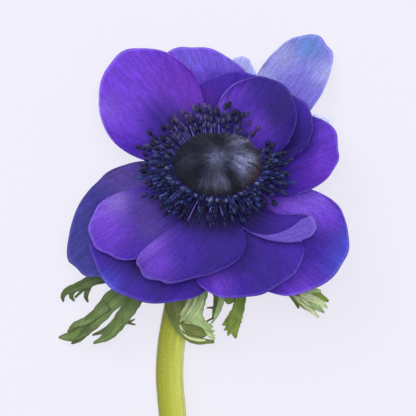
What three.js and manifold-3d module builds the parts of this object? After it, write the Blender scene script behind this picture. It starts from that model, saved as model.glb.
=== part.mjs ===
// A cut anemone bloom with its stem, laid on a flat surface and looked at from above.
// Millimetres, +Z up. The stem lies along Y with its cut end towards -Y. It bends up into the
// bloom, whose face leans from straight up towards +Y.
//
// The bloom is worked out round its own centre, and the whole flower is moved at the end so that
// the origin is the middle of its footprint, on the surface.

import * as THREE from 'three';
import { mergeVertices } from 'three/addons/utils/BufferGeometryUtils.js';
import Module from 'manifold-3d';

const wasm = await Module();
wasm.setup();

// Driving dimensions, in millimetres and degrees.

const BLOOM_LEAN = 36; // angle between the bloom's axis and straight up
const BLOOM_HEIGHT = 30; // bloom centre above the surface
const PETAL_THICKNESS = 0.64;
const BRACT_THICKNESS = 0.7;
const SEAT_GAP = 0.3; // clearance between a piece and what carries it

const SEAT_RADIUS = 6.1; // petal claws stand on this ring round the bloom's axis
const TOP_LAYER_DEPTH = 0.9; // depth of the innermost petals' claws below the bloom centre
const LAYER_STEP = 0.95; // depth from one petal layer to the next
const LAYER_SPREAD = 0.8; // how much further apart the layers are, a spread length out
const SPREAD_LENGTH = 30;
const WIDEST_SPREAD = 2; // in spread lengths
const RIM_SLOPE = 0.2; // slope of the outer petals along Y, flatter than the bloom's own lean
const SLOPE_EASE = 8; // distance over which the slope eases from the centre to the rim
const CLAW_WIDTH = 5;
const RIPPLES = 4; // half waves along a petal's rim
const PETAL_ROWS = 7;
const PETAL_COLUMNS = 12;

const BOSS_WIDTH = 22.6; // pistil boss, across X
const BOSS_DEPTH = 19.4; // pistil boss, across the leaning face
const BOSS_RISE = 4.8; // from its widest line to its top
const BOSS_BASE = 2.4; // height of its base above the bloom centre
const BOSS_UNDERSIDE = 1; // from its base to its widest line
const BOSS_LOBES = 5;
const LOBE_TURN = 0.6; // radians from +X to the first groove
const LOBE_RELIEF = 0.05; // as a share of the boss
const DIMPLE_DEPTH = 0.16;
const DIMPLE_WIDTH = 0.28;
const BOSS_SIDES = 30;
const BOSS_RINGS = 14;

const COLLAR_WIDTH = 21.8; // ring that carries the stamens
const COLLAR_DEPTH = 18.8;
const COLLAR_HEIGHT = 2;
const COLLAR_UNDERSIDE = 0.8; // width of its underside, as a share of its top
const COLLAR_SIDES = 40;
// elevation: degrees above the bloom's face. root: height of the root. sunk: how far it stands
// inside the collar's edge.
const STAMEN_ROWS = [
  { count: 34, length: 12.2, elevation: 6, root: 0.8, sunk: 2.2 },
  { count: 30, length: 9.2, elevation: 24, root: 1.1, sunk: 1.1 },
  { count: 22, length: 6.6, elevation: 42, root: 1.5, sunk: 0.2 },
];
const STEEPEST_STAMEN = 53; // clear of the boss
const RAISED_STEEPENING = 18; // degrees added on the raised side of the face
const LOW_FLATTENING = 6; // degrees taken off on its low side
const ELEVATION_SPREAD = 8;
const SHORTEST = 0.88; // of a row's length
const LENGTH_SPREAD = 0.24;
const ROOT_DEPTH = 1; // length inside the collar
const FILAMENT_RADIUS = 0.32;
const ANTHER_RADIUS = 0.8;
const ANTHER_LENGTH = 2.1;
const ANTHER_SHOULDERS = [[1, 0.35], [0.9, 0.75]]; // shares of its radius, at shares of its length
const STAMEN_SIDES = 4;
const STAMEN_SEED = 17;

const STEM_RADIUS = 3.9;
const STEM_END = 125; // cut end, measured back along Y from the bloom centre
const STEM_SHIFT = 12.8; // sideways run of the stem, towards -X
const NODE_BACK = 25; // leaf node, measured back along Y
const NODE_DISTANCE = 32; // leaf node, measured along the stem
const NODE_SWELL = 0.35;
const NODE_LENGTH = 3;
const NECK_DISTANCE = 6.6; // the receptacle narrows to the stem between these distances
const NECK_END = 13.5;
const STEM_SIDES = 20;
// Distances along the stem where its rings stand, closer together where it bends.
const STEM_STATIONS = [0, 2.2, 4.4, 6.6, 8.3, 10, 11.8, 13.6, 16.5, 20, 23.5, 27, 30, 33, 36, 40, 45,
  50, 56, 64, 76, 90, 105, 120, STEM_END + 20];

const SEAT_ROUNDS = 16; // corrections that find where a claw meets its ring
const REST_ROUNDS = 6; // corrections that bring a resting petal down to the surface

const lean = THREE.MathUtils.degToRad(BLOOM_LEAN);

// Petals. az: direction seen from above, from +X towards +Y. reach: bloom centre to tip, along its
// midline. width: at the widest. layer: 0 innermost. mid: where it is widest, as a share of its
// length. blunt: 2 gives an elliptic tip and less a pointed one. waist: over 1 gives a narrow claw
// and under 1 a broad one. bow: sideways shift of the tip. bend: degrees that the midline turns.
// cup: rise of both edges. lift: rise of the tip. roll: rise of the left edge over the right.
// ripple: height of the waves along the rim. rests: its tip lies on the surface.
const PETALS = [
  { name: 'petal_front_lower', az: 268, reach: 30.1, width: 26.8, layer: 0, mid: 0.68, blunt: 1.74,
    waist: 1.4, bow: -13.2, bend: 0, cup: 2.2, lift: -0.4, roll: 0, ripple: 0.3 },
  { name: 'petal_front_upper', az: 54.5, reach: 30, width: 22, layer: 0, mid: 0.48, blunt: 2.1,
    waist: 0.85, bow: 0, bend: 0, cup: 2.4, lift: 0.8, roll: 0, ripple: 0.2 },
  { name: 'petal_left', az: 212.5, reach: 38.5, width: 18.5, layer: 1, mid: 0.7, blunt: 1.75,
    waist: 1.2, bow: -1.5, bend: 0, cup: 1.2, lift: 0.3, roll: 0, ripple: 0.2 },
  { name: 'petal_folded', az: 298, reach: 33.6, width: 6.8, layer: 1, mid: 0.84, blunt: 1.9,
    waist: 0.8, bow: 0, bend: 86, cup: 1.2, lift: 0.6, roll: -1.4, ripple: 0.1 },
  { name: 'petal_right_shaded', az: 35, reach: 31, width: 17.5, layer: 1, mid: 0.63, blunt: 1.9,
    waist: 0.85, bow: 0.6, bend: 0, cup: 0.9, lift: 0.6, roll: 0, ripple: 0.2 },
  { name: 'petal_upper_left', az: 134.5, reach: 42.6, width: 29, layer: 2, mid: 0.55, blunt: 1.85,
    waist: 1.15, bow: -1.5, bend: 0, cup: 3.4, lift: 1.5, roll: 0, ripple: 0.3 },
  { name: 'petal_lower_right', az: 288, reach: 35, width: 30, layer: 2, mid: 0.68, blunt: 1.9,
    waist: 0.85, bow: 1.5, bend: 0, cup: 1.2, lift: 0, roll: 0, ripple: 0.3 },
  { name: 'petal_right', az: 12, reach: 34.5, width: 21, layer: 2, mid: 0.5, blunt: 2.2,
    waist: 0.85, bow: 1.5, bend: 0, cup: 0.9, lift: 0.4, roll: 0, ripple: 0.2 },
  { name: 'petal_lower_left', az: 233, reach: 42, width: 36, layer: 3, mid: 0.57, blunt: 1.85,
    waist: 0.85, bow: -4, bend: 0, cup: 1.4, lift: 0, roll: 0, ripple: 0.3 },
  { name: 'petal_top_shaded', az: 80, reach: 29, width: 24, layer: 3, mid: 0.57, blunt: 1.8,
    waist: 0.85, bow: -2.5, bend: 0, cup: 0.9, lift: 0, roll: 0, ripple: 0.3 },
  { name: 'petal_far_left', az: 202.5, reach: 46.7, width: 27.8, layer: 4, mid: 0.5, blunt: 1.7,
    waist: 0.5, bow: 7, bend: 0, cup: 1.2, lift: -2.5, roll: 0, ripple: 0.4 },
  { name: 'petal_top', az: 99.5, reach: 36.5, width: 30, layer: 4, mid: 0.55, blunt: 1.8,
    waist: 0.85, bow: 3.4, bend: 0, cup: 1, lift: 0, roll: 0, ripple: 0.3 },
  { name: 'petal_far_right', az: 316.5, reach: 42.3, width: 31.5, layer: 4, mid: 0.6, blunt: 1.9,
    waist: 0.85, bow: 1.5, bend: 0, cup: 1.8, lift: 0.5, roll: 0, ripple: 0.4 },
  { name: 'petal_back_pale', az: 50, reach: 48.5, width: 18, layer: 5, mid: 0.62, blunt: 2.1,
    waist: 0.85, bow: 1.5, bend: 0, cup: 2, lift: 0, roll: 0, ripple: 0.2, rests: true },
  { name: 'petal_back_top', az: 77, reach: 34, width: 12, layer: 6, mid: 0.6, blunt: 1.7,
    waist: 0.85, bow: 0, bend: 0, cup: 0.4, lift: -0.5, roll: 0, ripple: 0.2 },
  { name: 'petal_back_right', az: 24, reach: 35.3, width: 12, layer: 6, mid: 0.6, blunt: 1.7,
    waist: 0.85, bow: 0, bend: 0, cup: 0.5, lift: -0.5, roll: 0, ripple: 0.2 },
  { name: 'petal_back_left', az: 130, reach: 36, width: 18, layer: 6, mid: 0.6, blunt: 1.9,
    waist: 0.85, bow: 0, bend: 0, cup: 1, lift: 0, roll: 0, ripple: 0.2, rests: true },
];

// Bracts: outlines seen from above, round the bloom centre, from the stem out and back.
// start: height at the stem. rise: arch between stem and tips. droop: fall at the tips.
// span: distance from the stem to the furthest tip.
const BRACTS = [
  { name: 'bract_left', root: [-13, -26], start: -20.9, rise: 5.5, droop: -4.5, span: 38,
    outline: [
      [-12.1, -23.8], [-20, -24.5], [-28, -25.8], [-36.7, -28.3], [-40.7, -31.2], [-42.9, -32.8],
      [-43.6, -36], [-42.4, -35], [-41.3, -33.7], [-40.5, -35.9], [-39.4, -33.4], [-37, -30.7],
      [-37.6, -32.8], [-39.8, -35.2], [-37.3, -34.2], [-36.2, -36], [-35.5, -33], [-34.7, -30.8],
      [-32, -29.6], [-26, -28.6], [-20.5, -27.8],
      [-24.5, -30.2], [-29.2, -33.4], [-32.4, -36.4], [-35.1, -39.6], [-37.2, -41.6], [-39.9, -42.2],
      [-41.8, -44.5], [-38.8, -44], [-44.3, -45.8], [-43, -47.1], [-40.3, -47.9], [-34.8, -45.3],
      [-31.6, -41.3], [-28.2, -37.8], [-25.7, -35.3], [-27.4, -38.6], [-31, -42.6], [-36, -45.5],
      [-30.6, -45.3], [-35, -46.6], [-34.3, -47.9], [-29.7, -47.1], [-27.3, -45.2], [-25.7, -42.8],
      [-23.2, -42.6], [-24.5, -41.6], [-23.1, -40.6], [-24.6, -40.6], [-22.4, -36.4], [-19, -31.6],
      [-12.4, -28.2],
    ] },
  { name: 'bract_front', root: [-7.5, -26.6], start: -19.3, rise: 2.9, droop: -2.4, span: 20,
    outline: [
      [-9.6, -26.8], [-12.6, -31.6], [-14.9, -36.6], [-13.4, -40.6], [-12.1, -43.3], [-9.7, -45.7],
      [-4.7, -47.3], [-0.6, -46.6], [-2.4, -44.1], [-4.2, -41.2], [-4.5, -38.5], [-3.4, -33.7],
      [-2.6, -31.6], [-1.4, -34.5], [-1.8, -37.4], [-1.8, -40.7], [-1.1, -39.4], [-2.2, -42.2],
      [-0.4, -41.5], [0.6, -40.1], [1.2, -37.4], [1.6, -34.7], [1.6, -32.4], [2.3, -34.4],
      [1.8, -35.9], [4, -37.4], [2.6, -39.3], [2.9, -40.6], [1.4, -42.2], [2.6, -43.9],
      [3.1, -45.4], [4, -44.6], [5.1, -46.3], [5.9, -46], [6.5, -42.2], [7, -38.5],
      [8.2, -35], [5.6, -31.4], [-0.4, -28.6], [-5.9, -25.6],
    ] },
  { name: 'bract_right', root: [-3.8, -25], start: -20.3, rise: 5.5, droop: -1.5, span: 36,
    outline: [
      [-3, -22.9], [5, -24], [14, -26.4], [22, -29.2], [27.6, -31.2], [30.6, -33.3],
      [28.6, -33.6], [31.8, -35.6], [29.4, -36], [30.6, -37.9], [28, -37.4], [28.9, -40.4],
      [25.7, -38.2], [23.7, -35.3], [23.2, -37.9], [21.8, -35.4], [20.4, -32.6], [14.6, -31],
      [12.4, -33.2], [11, -29.6], [5, -27.2], [-4.6, -26.2],
    ] },
];

// Colours and surface finishes.
const PETAL_COLOUR = 0x4b2bb0;
const PALE_PETAL_COLOUR = 0x8f8fe0;
const BOSS_COLOUR = 0x2a2735;
const STAMEN_COLOUR = 0x191a3c;
const STEM_COLOUR = 0xa3b04a;
const BRACT_COLOUR = 0x5d8a45;
const PALE_PETALS = ['petal_back_pale', 'petal_back_top', 'petal_back_right'];

const finish = (color, roughness) => new THREE.MeshStandardMaterial({ color, roughness, metalness: 0 });

function piece(name, geometry, material) {
  const mesh = new THREE.Mesh(geometry, material);
  mesh.name = name;
  return mesh;
}

// A draw that repeats from run to run.
function seeded(seed) {
  let state = seed;
  return () => {
    state = (state * 1664525 + 1013904223) % 4294967296;
    return state / 4294967296;
  };
}

// Only shared positions are kept, so that the faces close.
function welded(geometry) {
  const bare = geometry.clone();
  bare.deleteAttribute('normal');
  bare.deleteAttribute('uv');
  return mergeVertices(bare, 1e-4);
}

function toSolid(geometry) {
  const closed = welded(geometry);
  return new wasm.Manifold(new wasm.Mesh({
    numProp: 3,
    vertProperties: new Float32Array(closed.attributes.position.array),
    triVerts: new Uint32Array(closed.index.array),
  }));
}

function toGeometry(solid) {
  const mesh = solid.getMesh();
  const geometry = new THREE.BufferGeometry();
  geometry.setAttribute('position', new THREE.BufferAttribute(new Float32Array(mesh.vertProperties), 3));
  geometry.setIndex(new THREE.BufferAttribute(new Uint32Array(mesh.triVerts), 1));
  return geometry;
}

// A thin closed blade about the sheet point(s, t), with s from 0 to 1 outwards and t from -1 to 1
// across. Both faces are split into triangles alike.
function blade(point, along, across, thickness) {
  const columns = across + 1;
  const middle = [];
  for (let i = 0; i <= along; i += 1) {
    for (let j = 0; j <= across; j += 1) {
      middle.push(point(i / along, (2 * j) / across - 1));
    }
  }
  const at = (i, j) => {
    const row = THREE.MathUtils.clamp(i, 0, along);
    const column = THREE.MathUtils.clamp(j, 0, across);
    return middle[row * columns + column];
  };
  const upper = [];
  const lower = [];
  for (let i = 0; i <= along; i += 1) {
    for (let j = 0; j <= across; j += 1) {
      const outwards = at(i + 1, j).clone().sub(at(i - 1, j));
      const sideways = at(i, j + 1).clone().sub(at(i, j - 1));
      const half = outwards.cross(sideways).normalize().multiplyScalar(thickness / 2);
      upper.push(...at(i, j).clone().add(half).toArray());
      lower.push(...at(i, j).clone().sub(half).toArray());
    }
  }
  const under = middle.length;
  const triangles = [];
  for (let i = 0; i < along; i += 1) {
    for (let j = 0; j < across; j += 1) {
      const a = i * columns + j;
      const b = a + columns;
      triangles.push(a, b, b + 1, a, b + 1, a + 1);
      triangles.push(under + a, under + b + 1, under + b, under + a, under + a + 1, under + b + 1);
    }
  }
  const rim = [];
  for (let i = 0; i < along; i += 1) rim.push(i * columns);
  for (let j = 0; j < across; j += 1) rim.push(along * columns + j);
  for (let i = along; i > 0; i -= 1) rim.push(i * columns + across);
  for (let j = across; j > 0; j -= 1) rim.push(j);
  rim.forEach((a, k) => {
    const b = rim[(k + 1) % rim.length];
    triangles.push(under + a, under + b, b, under + a, b, a);
  });
  const geometry = new THREE.BufferGeometry();
  geometry.setAttribute('position', new THREE.Float32BufferAttribute([...upper, ...lower], 3));
  geometry.setIndex(triangles);
  return geometry;
}

// Height of one petal layer at a place seen from above: level with the leaning face at the
// centre, flatter towards the rim, and dropping away from the layers above it.
function layerDepth(layer) {
  return TOP_LAYER_DEPTH + LAYER_STEP * layer;
}

function layerHeight(x, y, layer) {
  const face = RIM_SLOPE * y + (Math.tan(lean) - RIM_SLOPE) * SLOPE_EASE * Math.tanh(y / SLOPE_EASE);
  const away = Math.hypot(x, y / Math.cos(lean)) - SEAT_RADIUS;
  const spread = 1 + LAYER_SPREAD * THREE.MathUtils.clamp(away / SPREAD_LENGTH, 0, WIDEST_SPREAD);
  return -face - (layerDepth(layer) / Math.cos(lean)) * spread;
}

// Where a claw's line meets its ring round the leaning axis, found by repeated correction.
function seatY(x, ringY, layer) {
  let y = ringY * Math.cos(lean);
  for (let round = 0; round < SEAT_ROUNDS; round += 1) {
    y = (ringY + layerHeight(x, y, layer) * Math.sin(lean)) / Math.cos(lean);
  }
  return y;
}

// One point of a petal's sheet. A petal with a bend has its midline along an arc.
function petalPoint(petal, s, t) {
  const az = THREE.MathUtils.degToRad(petal.az);
  const length = petal.reach - SEAT_RADIUS;
  const widest = length * petal.mid;
  const across = Math.sin((Math.PI * t) / 2);
  const onward = Math.cos((Math.PI * t) / 2);
  const side = Math.sign(across) * Math.abs(across) ** (2 / petal.blunt);
  const u = s * (widest + (length - widest) * Math.max(onward, 0) ** (2 / petal.blunt));
  const spread = Math.sin((Math.PI * s ** petal.waist) / 2);
  const half = CLAW_WIDTH / 2 + (petal.width / 2 - CLAW_WIDTH / 2) * spread;
  const v = half * side + petal.bow * (u / length) ** 2;
  let ahead = u;
  let aside = v;
  if (petal.bend) {
    const turning = length / THREE.MathUtils.degToRad(petal.bend);
    ahead = (turning - v) * Math.sin(u / turning);
    aside = turning - (turning - v) * Math.cos(u / turning);
  }
  const back = (1 - u / length) ** 3;
  const clawX = SEAT_RADIUS * Math.cos(az) - v * Math.sin(az);
  const clawY = SEAT_RADIUS * Math.sin(az) + v * Math.cos(az);
  const seat = (seatY(clawX, clawY, petal.layer) - clawY) * back;
  const x = (SEAT_RADIUS + ahead) * Math.cos(az) - aside * Math.sin(az);
  const y = (SEAT_RADIUS + ahead) * Math.sin(az) + aside * Math.cos(az) + seat;
  const form = petal.cup * side * side * s * s + petal.lift * (u / length) ** 2 + petal.roll * side * s;
  const wave = petal.ripple * Math.sin(RIPPLES * Math.PI * t + petal.az) * s ** 4;
  return new THREE.Vector3(x, y, layerHeight(x, y, petal.layer) + form + wave);
}

function makePetal(petal) {
  const build = (drawn) => {
    const point = (s, t) => petalPoint(drawn, s, t);
    return blade(point, PETAL_ROWS, PETAL_COLUMNS, PETAL_THICKNESS);
  };
  let drawn = petal;
  let geometry = build(drawn);
  if (petal.rests) {
    for (let round = 0; round < REST_ROUNDS; round += 1) {
      geometry.computeBoundingBox();
      const miss = -BLOOM_HEIGHT - geometry.boundingBox.min.z;
      drawn = { ...drawn, lift: drawn.lift + miss };
      geometry = build(drawn);
    }
  }
  const colour = PALE_PETALS.includes(petal.name) ? PALE_PETAL_COLOUR : PETAL_COLOUR;
  return piece(petal.name, geometry, finish(colour, 0.6));
}

// Pistil boss, on the bloom's own axis: a shallow lobed dome with a dimple at its top.
function makeBoss() {
  const geometry = welded(new THREE.SphereGeometry(1, BOSS_SIDES, BOSS_RINGS).rotateX(Math.PI / 2));
  const place = geometry.attributes.position;
  for (let i = 0; i < place.count; i += 1) {
    const ray = new THREE.Vector3().fromBufferAttribute(place, i).normalize();
    const turn = Math.atan2(ray.y, ray.x);
    const steep = Math.max(ray.z, 0);
    const out = Math.hypot(ray.x, ray.y);
    const groove = LOBE_RELIEF * Math.cos(BOSS_LOBES * turn + LOBE_TURN) * out * steep;
    const dimple = DIMPLE_DEPTH * Math.exp(-((out / DIMPLE_WIDTH) ** 2)) * steep;
    const size = 1 + groove - dimple;
    const rise = ray.z > 0 ? BOSS_RISE * size : BOSS_UNDERSIDE;
    const widestLine = BOSS_BASE + BOSS_UNDERSIDE;
    place.setXYZ(
      i,
      ray.x * (BOSS_WIDTH / 2) * size,
      ray.y * (BOSS_DEPTH / 2) * size,
      widestLine + ray.z * rise,
    );
  }
  return piece('pistil_boss', geometry, finish(BOSS_COLOUR, 0.8));
}

// One stamen along +Y from its root: a thin filament and a fat anther.
function stamenShape(length) {
  const neck = length - ANTHER_LENGTH;
  const anther = ANTHER_SHOULDERS.map(([r, y]) => [r * ANTHER_RADIUS, neck + y * ANTHER_LENGTH]);
  const profile = [[0, 0], [FILAMENT_RADIUS, 0], [FILAMENT_RADIUS, neck], ...anther, [0, length]];
  return new THREE.LatheGeometry(profile.map(([r, y]) => new THREE.Vector2(r, y)), STAMEN_SIDES);
}

// Stamens all round the boss, fused into the collar that they grow from. On the raised side of
// the face they stand steeper, and on the low side they lie flatter.
function makeStamens() {
  const draw = seeded(STAMEN_SEED);
  const collar = new THREE.CylinderGeometry(1, COLLAR_UNDERSIDE, COLLAR_HEIGHT, COLLAR_SIDES)
    .rotateX(Math.PI / 2)
    .scale(COLLAR_WIDTH / 2, COLLAR_DEPTH / 2, 1)
    .translate(0, 0, COLLAR_HEIGHT / 2);
  let head = toSolid(collar);
  STAMEN_ROWS.forEach((row, rank) => {
    for (let k = 0; k < row.count; k += 1) {
      const turn = ((k + 0.5 * (rank % 2) + 0.5 * (draw() - 0.5)) / row.count) * 2 * Math.PI;
      const raised = RAISED_STEEPENING * Math.max(Math.sin(turn), 0);
      const flattened = LOW_FLATTENING * Math.min(Math.sin(turn), 0);
      const drawn = row.elevation + raised + flattened + ELEVATION_SPREAD * (draw() - 0.5);
      const elevation = THREE.MathUtils.degToRad(Math.min(drawn, STEEPEST_STAMEN));
      const length = row.length * (SHORTEST + LENGTH_SPREAD * draw()) + ROOT_DEPTH;
      const heading = new THREE.Vector3(
        Math.cos(turn) * Math.cos(elevation),
        Math.sin(turn) * Math.cos(elevation),
        Math.sin(elevation),
      );
      const stamen = stamenShape(length);
      const swing = new THREE.Quaternion().setFromUnitVectors(new THREE.Vector3(0, 1, 0), heading);
      stamen.applyQuaternion(swing);
      stamen.translate(
        Math.cos(turn) * (COLLAR_WIDTH / 2 - row.sunk),
        Math.sin(turn) * (COLLAR_DEPTH / 2 - row.sunk),
        row.root,
      );
      head = head.add(toSolid(stamen));
    }
  });
  return piece('stamens', toGeometry(head), finish(STAMEN_COLOUR, 0.7));
}

// Stem with the receptacle at its top, one body: a cylinder bent along the stem's line.
function stemLine() {
  const rest = STEM_RADIUS - BLOOM_HEIGHT;
  const down = (depth) => new THREE.Vector3(0, -depth * Math.sin(lean), -depth * Math.cos(lean));
  return new THREE.CatmullRomCurve3([
    down(SEAT_GAP),
    down(3.5),
    down(7),
    down(10.5),
    new THREE.Vector3(-2, -11, -14),
    new THREE.Vector3(-4.9, -17.2, -18.7),
    new THREE.Vector3(-8.8, -NODE_BACK, -22.6),
    new THREE.Vector3(-10.7, -36, -25.3),
    new THREE.Vector3(-STEM_SHIFT, -48, rest),
    new THREE.Vector3(-STEM_SHIFT - 0.5, -57, rest),
    new THREE.Vector3(-STEM_SHIFT + 0.4, -69, rest),
    new THREE.Vector3(-STEM_SHIFT + 1.6, -97, rest),
    new THREE.Vector3(-STEM_SHIFT + 1.2, -STEM_END, rest),
  ], false, 'centripetal');
}

function stemRadius(distance) {
  const ease = THREE.MathUtils.smoothstep(distance, NECK_DISTANCE, NECK_END);
  const receptacle = THREE.MathUtils.lerp(SEAT_RADIUS - SEAT_GAP, STEM_RADIUS, ease);
  return receptacle + NODE_SWELL * Math.exp(-(((distance - NODE_DISTANCE) / NODE_LENGTH) ** 2));
}

function makeStem() {
  const line = stemLine();
  const total = line.getLength();
  const rings = STEM_STATIONS.length - 1;
  const geometry = welded(new THREE.CylinderGeometry(1, 1, 1, STEM_SIDES, rings));
  const place = geometry.attributes.position;
  for (let i = 0; i < place.count; i += 1) {
    const station = Math.round((0.5 - place.getY(i)) * rings);
    const distance = Math.min(STEM_STATIONS[station], total);
    const centre = line.getPointAt(distance / total);
    const forward = line.getTangentAt(distance / total);
    const side = new THREE.Vector3(1, 0, 0).addScaledVector(forward, -forward.x).normalize();
    const over = forward.clone().cross(side);
    const radius = stemRadius(distance);
    centre.addScaledVector(side, place.getX(i) * radius);
    centre.addScaledVector(over, place.getZ(i) * radius);
    place.setXYZ(i, centre.x, centre.y, Math.max(centre.z, -BLOOM_HEIGHT));
  }
  return piece('stem', geometry, finish(STEM_COLOUR, 0.6));
}

// Bracts: cut leaves, each one thin blade with deep lobes, arched out from the stem.
function makeBract(bract) {
  const shape = new THREE.Shape(bract.outline.map(([x, y]) => new THREE.Vector2(x, y)));
  const geometry = welded(new THREE.ExtrudeGeometry(shape, { depth: BRACT_THICKNESS, bevelEnabled: false }));
  const place = geometry.attributes.position;
  for (let i = 0; i < place.count; i += 1) {
    const x = place.getX(i);
    const y = place.getY(i);
    const share = Math.hypot(x - bract.root[0], y - bract.root[1]) / bract.span;
    const arch = bract.start + 4 * bract.rise * share * (1 - share) + bract.droop * share * share;
    place.setZ(i, place.getZ(i) - BRACT_THICKNESS / 2 + arch);
  }
  return piece(bract.name, geometry, finish(BRACT_COLOUR, 0.6));
}

const head = new THREE.Group();
head.rotation.x = -lean;
head.add(makeBoss(), makeStamens());

const flower = new THREE.Group();
flower.add(head, makeStem(), ...PETALS.map(makePetal), ...BRACTS.map(makeBract));
flower.updateMatrixWorld(true);

const reach = new THREE.Box3().setFromObject(flower, true);
const middle = reach.getCenter(new THREE.Vector3());
flower.position.set(-middle.x, -middle.y, -reach.min.z);

export default flower;
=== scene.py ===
"""A cut anemone bloom laid on a pale surface: the fine surfaces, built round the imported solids.

Metres, +Z up. The stem lies along Y with its cut end towards -Y, and the bloom's face leans from
straight up towards +Y. Places in the bloom are measured from its own centre, in millimetres where
a table of forms holds them.
"""

import math
import random

import bmesh
import bpy
from bpy.props import FloatProperty, FloatVectorProperty, IntProperty, PointerProperty
from bpy.types import Operator, Panel, PropertyGroup
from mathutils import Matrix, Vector, noise


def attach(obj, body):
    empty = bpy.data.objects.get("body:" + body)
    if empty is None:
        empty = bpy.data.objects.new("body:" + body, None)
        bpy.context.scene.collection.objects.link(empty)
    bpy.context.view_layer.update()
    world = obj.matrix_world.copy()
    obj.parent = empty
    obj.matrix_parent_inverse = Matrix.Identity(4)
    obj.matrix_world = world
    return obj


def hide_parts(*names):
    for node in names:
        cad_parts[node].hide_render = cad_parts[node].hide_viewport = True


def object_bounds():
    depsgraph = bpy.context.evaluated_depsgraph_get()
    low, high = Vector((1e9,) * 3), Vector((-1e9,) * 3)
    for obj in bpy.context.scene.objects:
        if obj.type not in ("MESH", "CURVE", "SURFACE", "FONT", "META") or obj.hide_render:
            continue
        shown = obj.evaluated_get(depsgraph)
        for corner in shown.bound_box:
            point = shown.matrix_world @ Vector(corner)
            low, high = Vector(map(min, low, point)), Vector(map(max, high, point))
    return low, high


bl_info = {
    "name": "Anemone Flower",
    "version": (1, 0, 0),
    "blender": (4, 5, 0),
    "location": "3D View > Sidebar > Anemone",
    "description": "Builds a cut anemone: petals, boss, stamens, bracts and stem",
    "category": "Add Mesh",
}

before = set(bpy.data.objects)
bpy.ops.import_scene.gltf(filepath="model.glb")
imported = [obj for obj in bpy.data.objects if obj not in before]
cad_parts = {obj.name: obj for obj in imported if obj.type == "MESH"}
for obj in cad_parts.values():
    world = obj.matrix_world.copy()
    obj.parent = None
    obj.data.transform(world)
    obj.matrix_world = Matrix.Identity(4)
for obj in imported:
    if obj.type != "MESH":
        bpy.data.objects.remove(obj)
CAD_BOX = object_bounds()

MM = 0.001
SURFACE = CAD_BOX[0][2]
BLOOM_CENTRE = Vector((4.247 * MM, 42.76 * MM, SURFACE + 30 * MM))

# The bloom's build, the same as the solids'.
LEAN = math.radians(36)
SEAT_RADIUS = 6.1 * MM
TOP_LAYER_DEPTH = 0.9 * MM
LAYER_STEP = 0.95 * MM
LAYER_SPREAD = 0.8
SPREAD_LENGTH = 30 * MM
WIDEST_SPREAD = 2
RIM_SLOPE = 0.2
SLOPE_EASE = 8 * MM
CLAW_WIDTH = 5 * MM
CLAW_SINK = 0.7 * MM
RIPPLES = 4
SEAT_ROUNDS = 16
LIFT_ROUNDS = 6

BOSS_WIDTH = 22.6 * MM
BOSS_DEPTH = 19.4 * MM
BOSS_RISE = 4.8 * MM
BOSS_WIDEST_LINE = 3.4 * MM
BOSS_SKIRT = 1 * MM
BOSS_GROOVES = (20, 90, 160, 222, 299)
# Grooves, the dimple in the middle and the unevenness, as shares of the boss's size.
GROOVE_DEPTH = 0.08
GROOVE_SPREAD = 0.2
DIMPLE_DEPTH = 0.2
DIMPLE_SPREAD = 0.2
BOSS_LUMPS = 0.03
BOSS_GRAIN = 0.02
# Painted highlights and painted shade on the boss, seen from above: x, y and radius in millimetres,
# and how pale, below zero for a patch of painted shade.
BOSS_HIGHLIGHTS_AND_SHADE = (
    (7.6, 4.2, 3, 0.85), (5.8, 1, 2.2, 0.55), (-0.4, 3.6, 2.3, 0.5), (0.8, -2.4, 2.2, 0.36),
    (5.6, 8, 2.6, 0.35), (-8, 3.4, 2.2, 0.07), (8.4, -2.4, 2.2, 0.2), (-3, -3, 1.8, 0.12),
    (3.5, -0.6, 1.1, -0.35), (0.8, 8.2, 1.4, -0.1),
)
# How pale the boss is away from those painted highlights, and how far painted shade darkens a groove.
BASE_LIGHT = 0.035
GROOVE_SHADE = 0.6
BOSS_SEED = 5
# The boss's hairs are longer round one direction and rust-coloured round another, in radians.
FUZZ_TURN = 0.75
FUZZ_SPREAD = 0.5
RUST_TURN = -0.45
RUST_SPREAD = 0.3
BOSS_HAIR_RADIUS = 0.06 * MM
BOSS_HAIR_LIFT = 0.4
BOSS_HAIR_STRAY = 0.3

COLLAR_WIDTH = 21.8 * MM
COLLAR_DEPTH = 18.8 * MM
COLLAR_HEIGHT = 2 * MM
COLLAR_UNDERSIDE = 0.8
COLLAR_SIDES = 64
COLLAR_ROUNDING = 0.35 * MM

STEM_RADIUS = 3.9 * MM
RECEPTACLE_RADIUS = 5.8 * MM
RECEPTACLE_END = 6.6 * MM
STEM_START = 13.5 * MM
NODE_DISTANCE = 32 * MM
NODE_SWELL = 0.35 * MM
NODE_LENGTH = 3 * MM
# Height of the stem's line where it lies on the surface, in millimetres from the bloom's centre.
STEM_REST = -26.1
STEM_SIDES = 48
STEM_STEPS = 14
# Faint ribs along the stem, with their height and the other unevenness as shares of its radius.
RIB_COUNT = 9
RIB_HEIGHT = 0.012
STEM_LUMPS = 0.01
# The stem is darker near the bloom, partly its own greener tone and partly painted shade under
# the bloom and bracts, and no longer darker this far from its top.
STEM_TONE_AND_SHADE_SPAN = (12 * MM, 45 * MM)
# The first place along the stem that has hairs, and their radius.
FIRST_HAIRY_STATION = 30
STEM_HAIR_RADIUS = 0.03 * MM
STEM_SEED = 9
# The cut end: a rim round a hollow, and a softer middle sunk further in.
RIND_WIDTH = 0.45 * MM
RIND_DEPTH = 0.2 * MM
PITH_INSET = 1.6 * MM
PITH_DEPTH = 0.25 * MM

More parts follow.
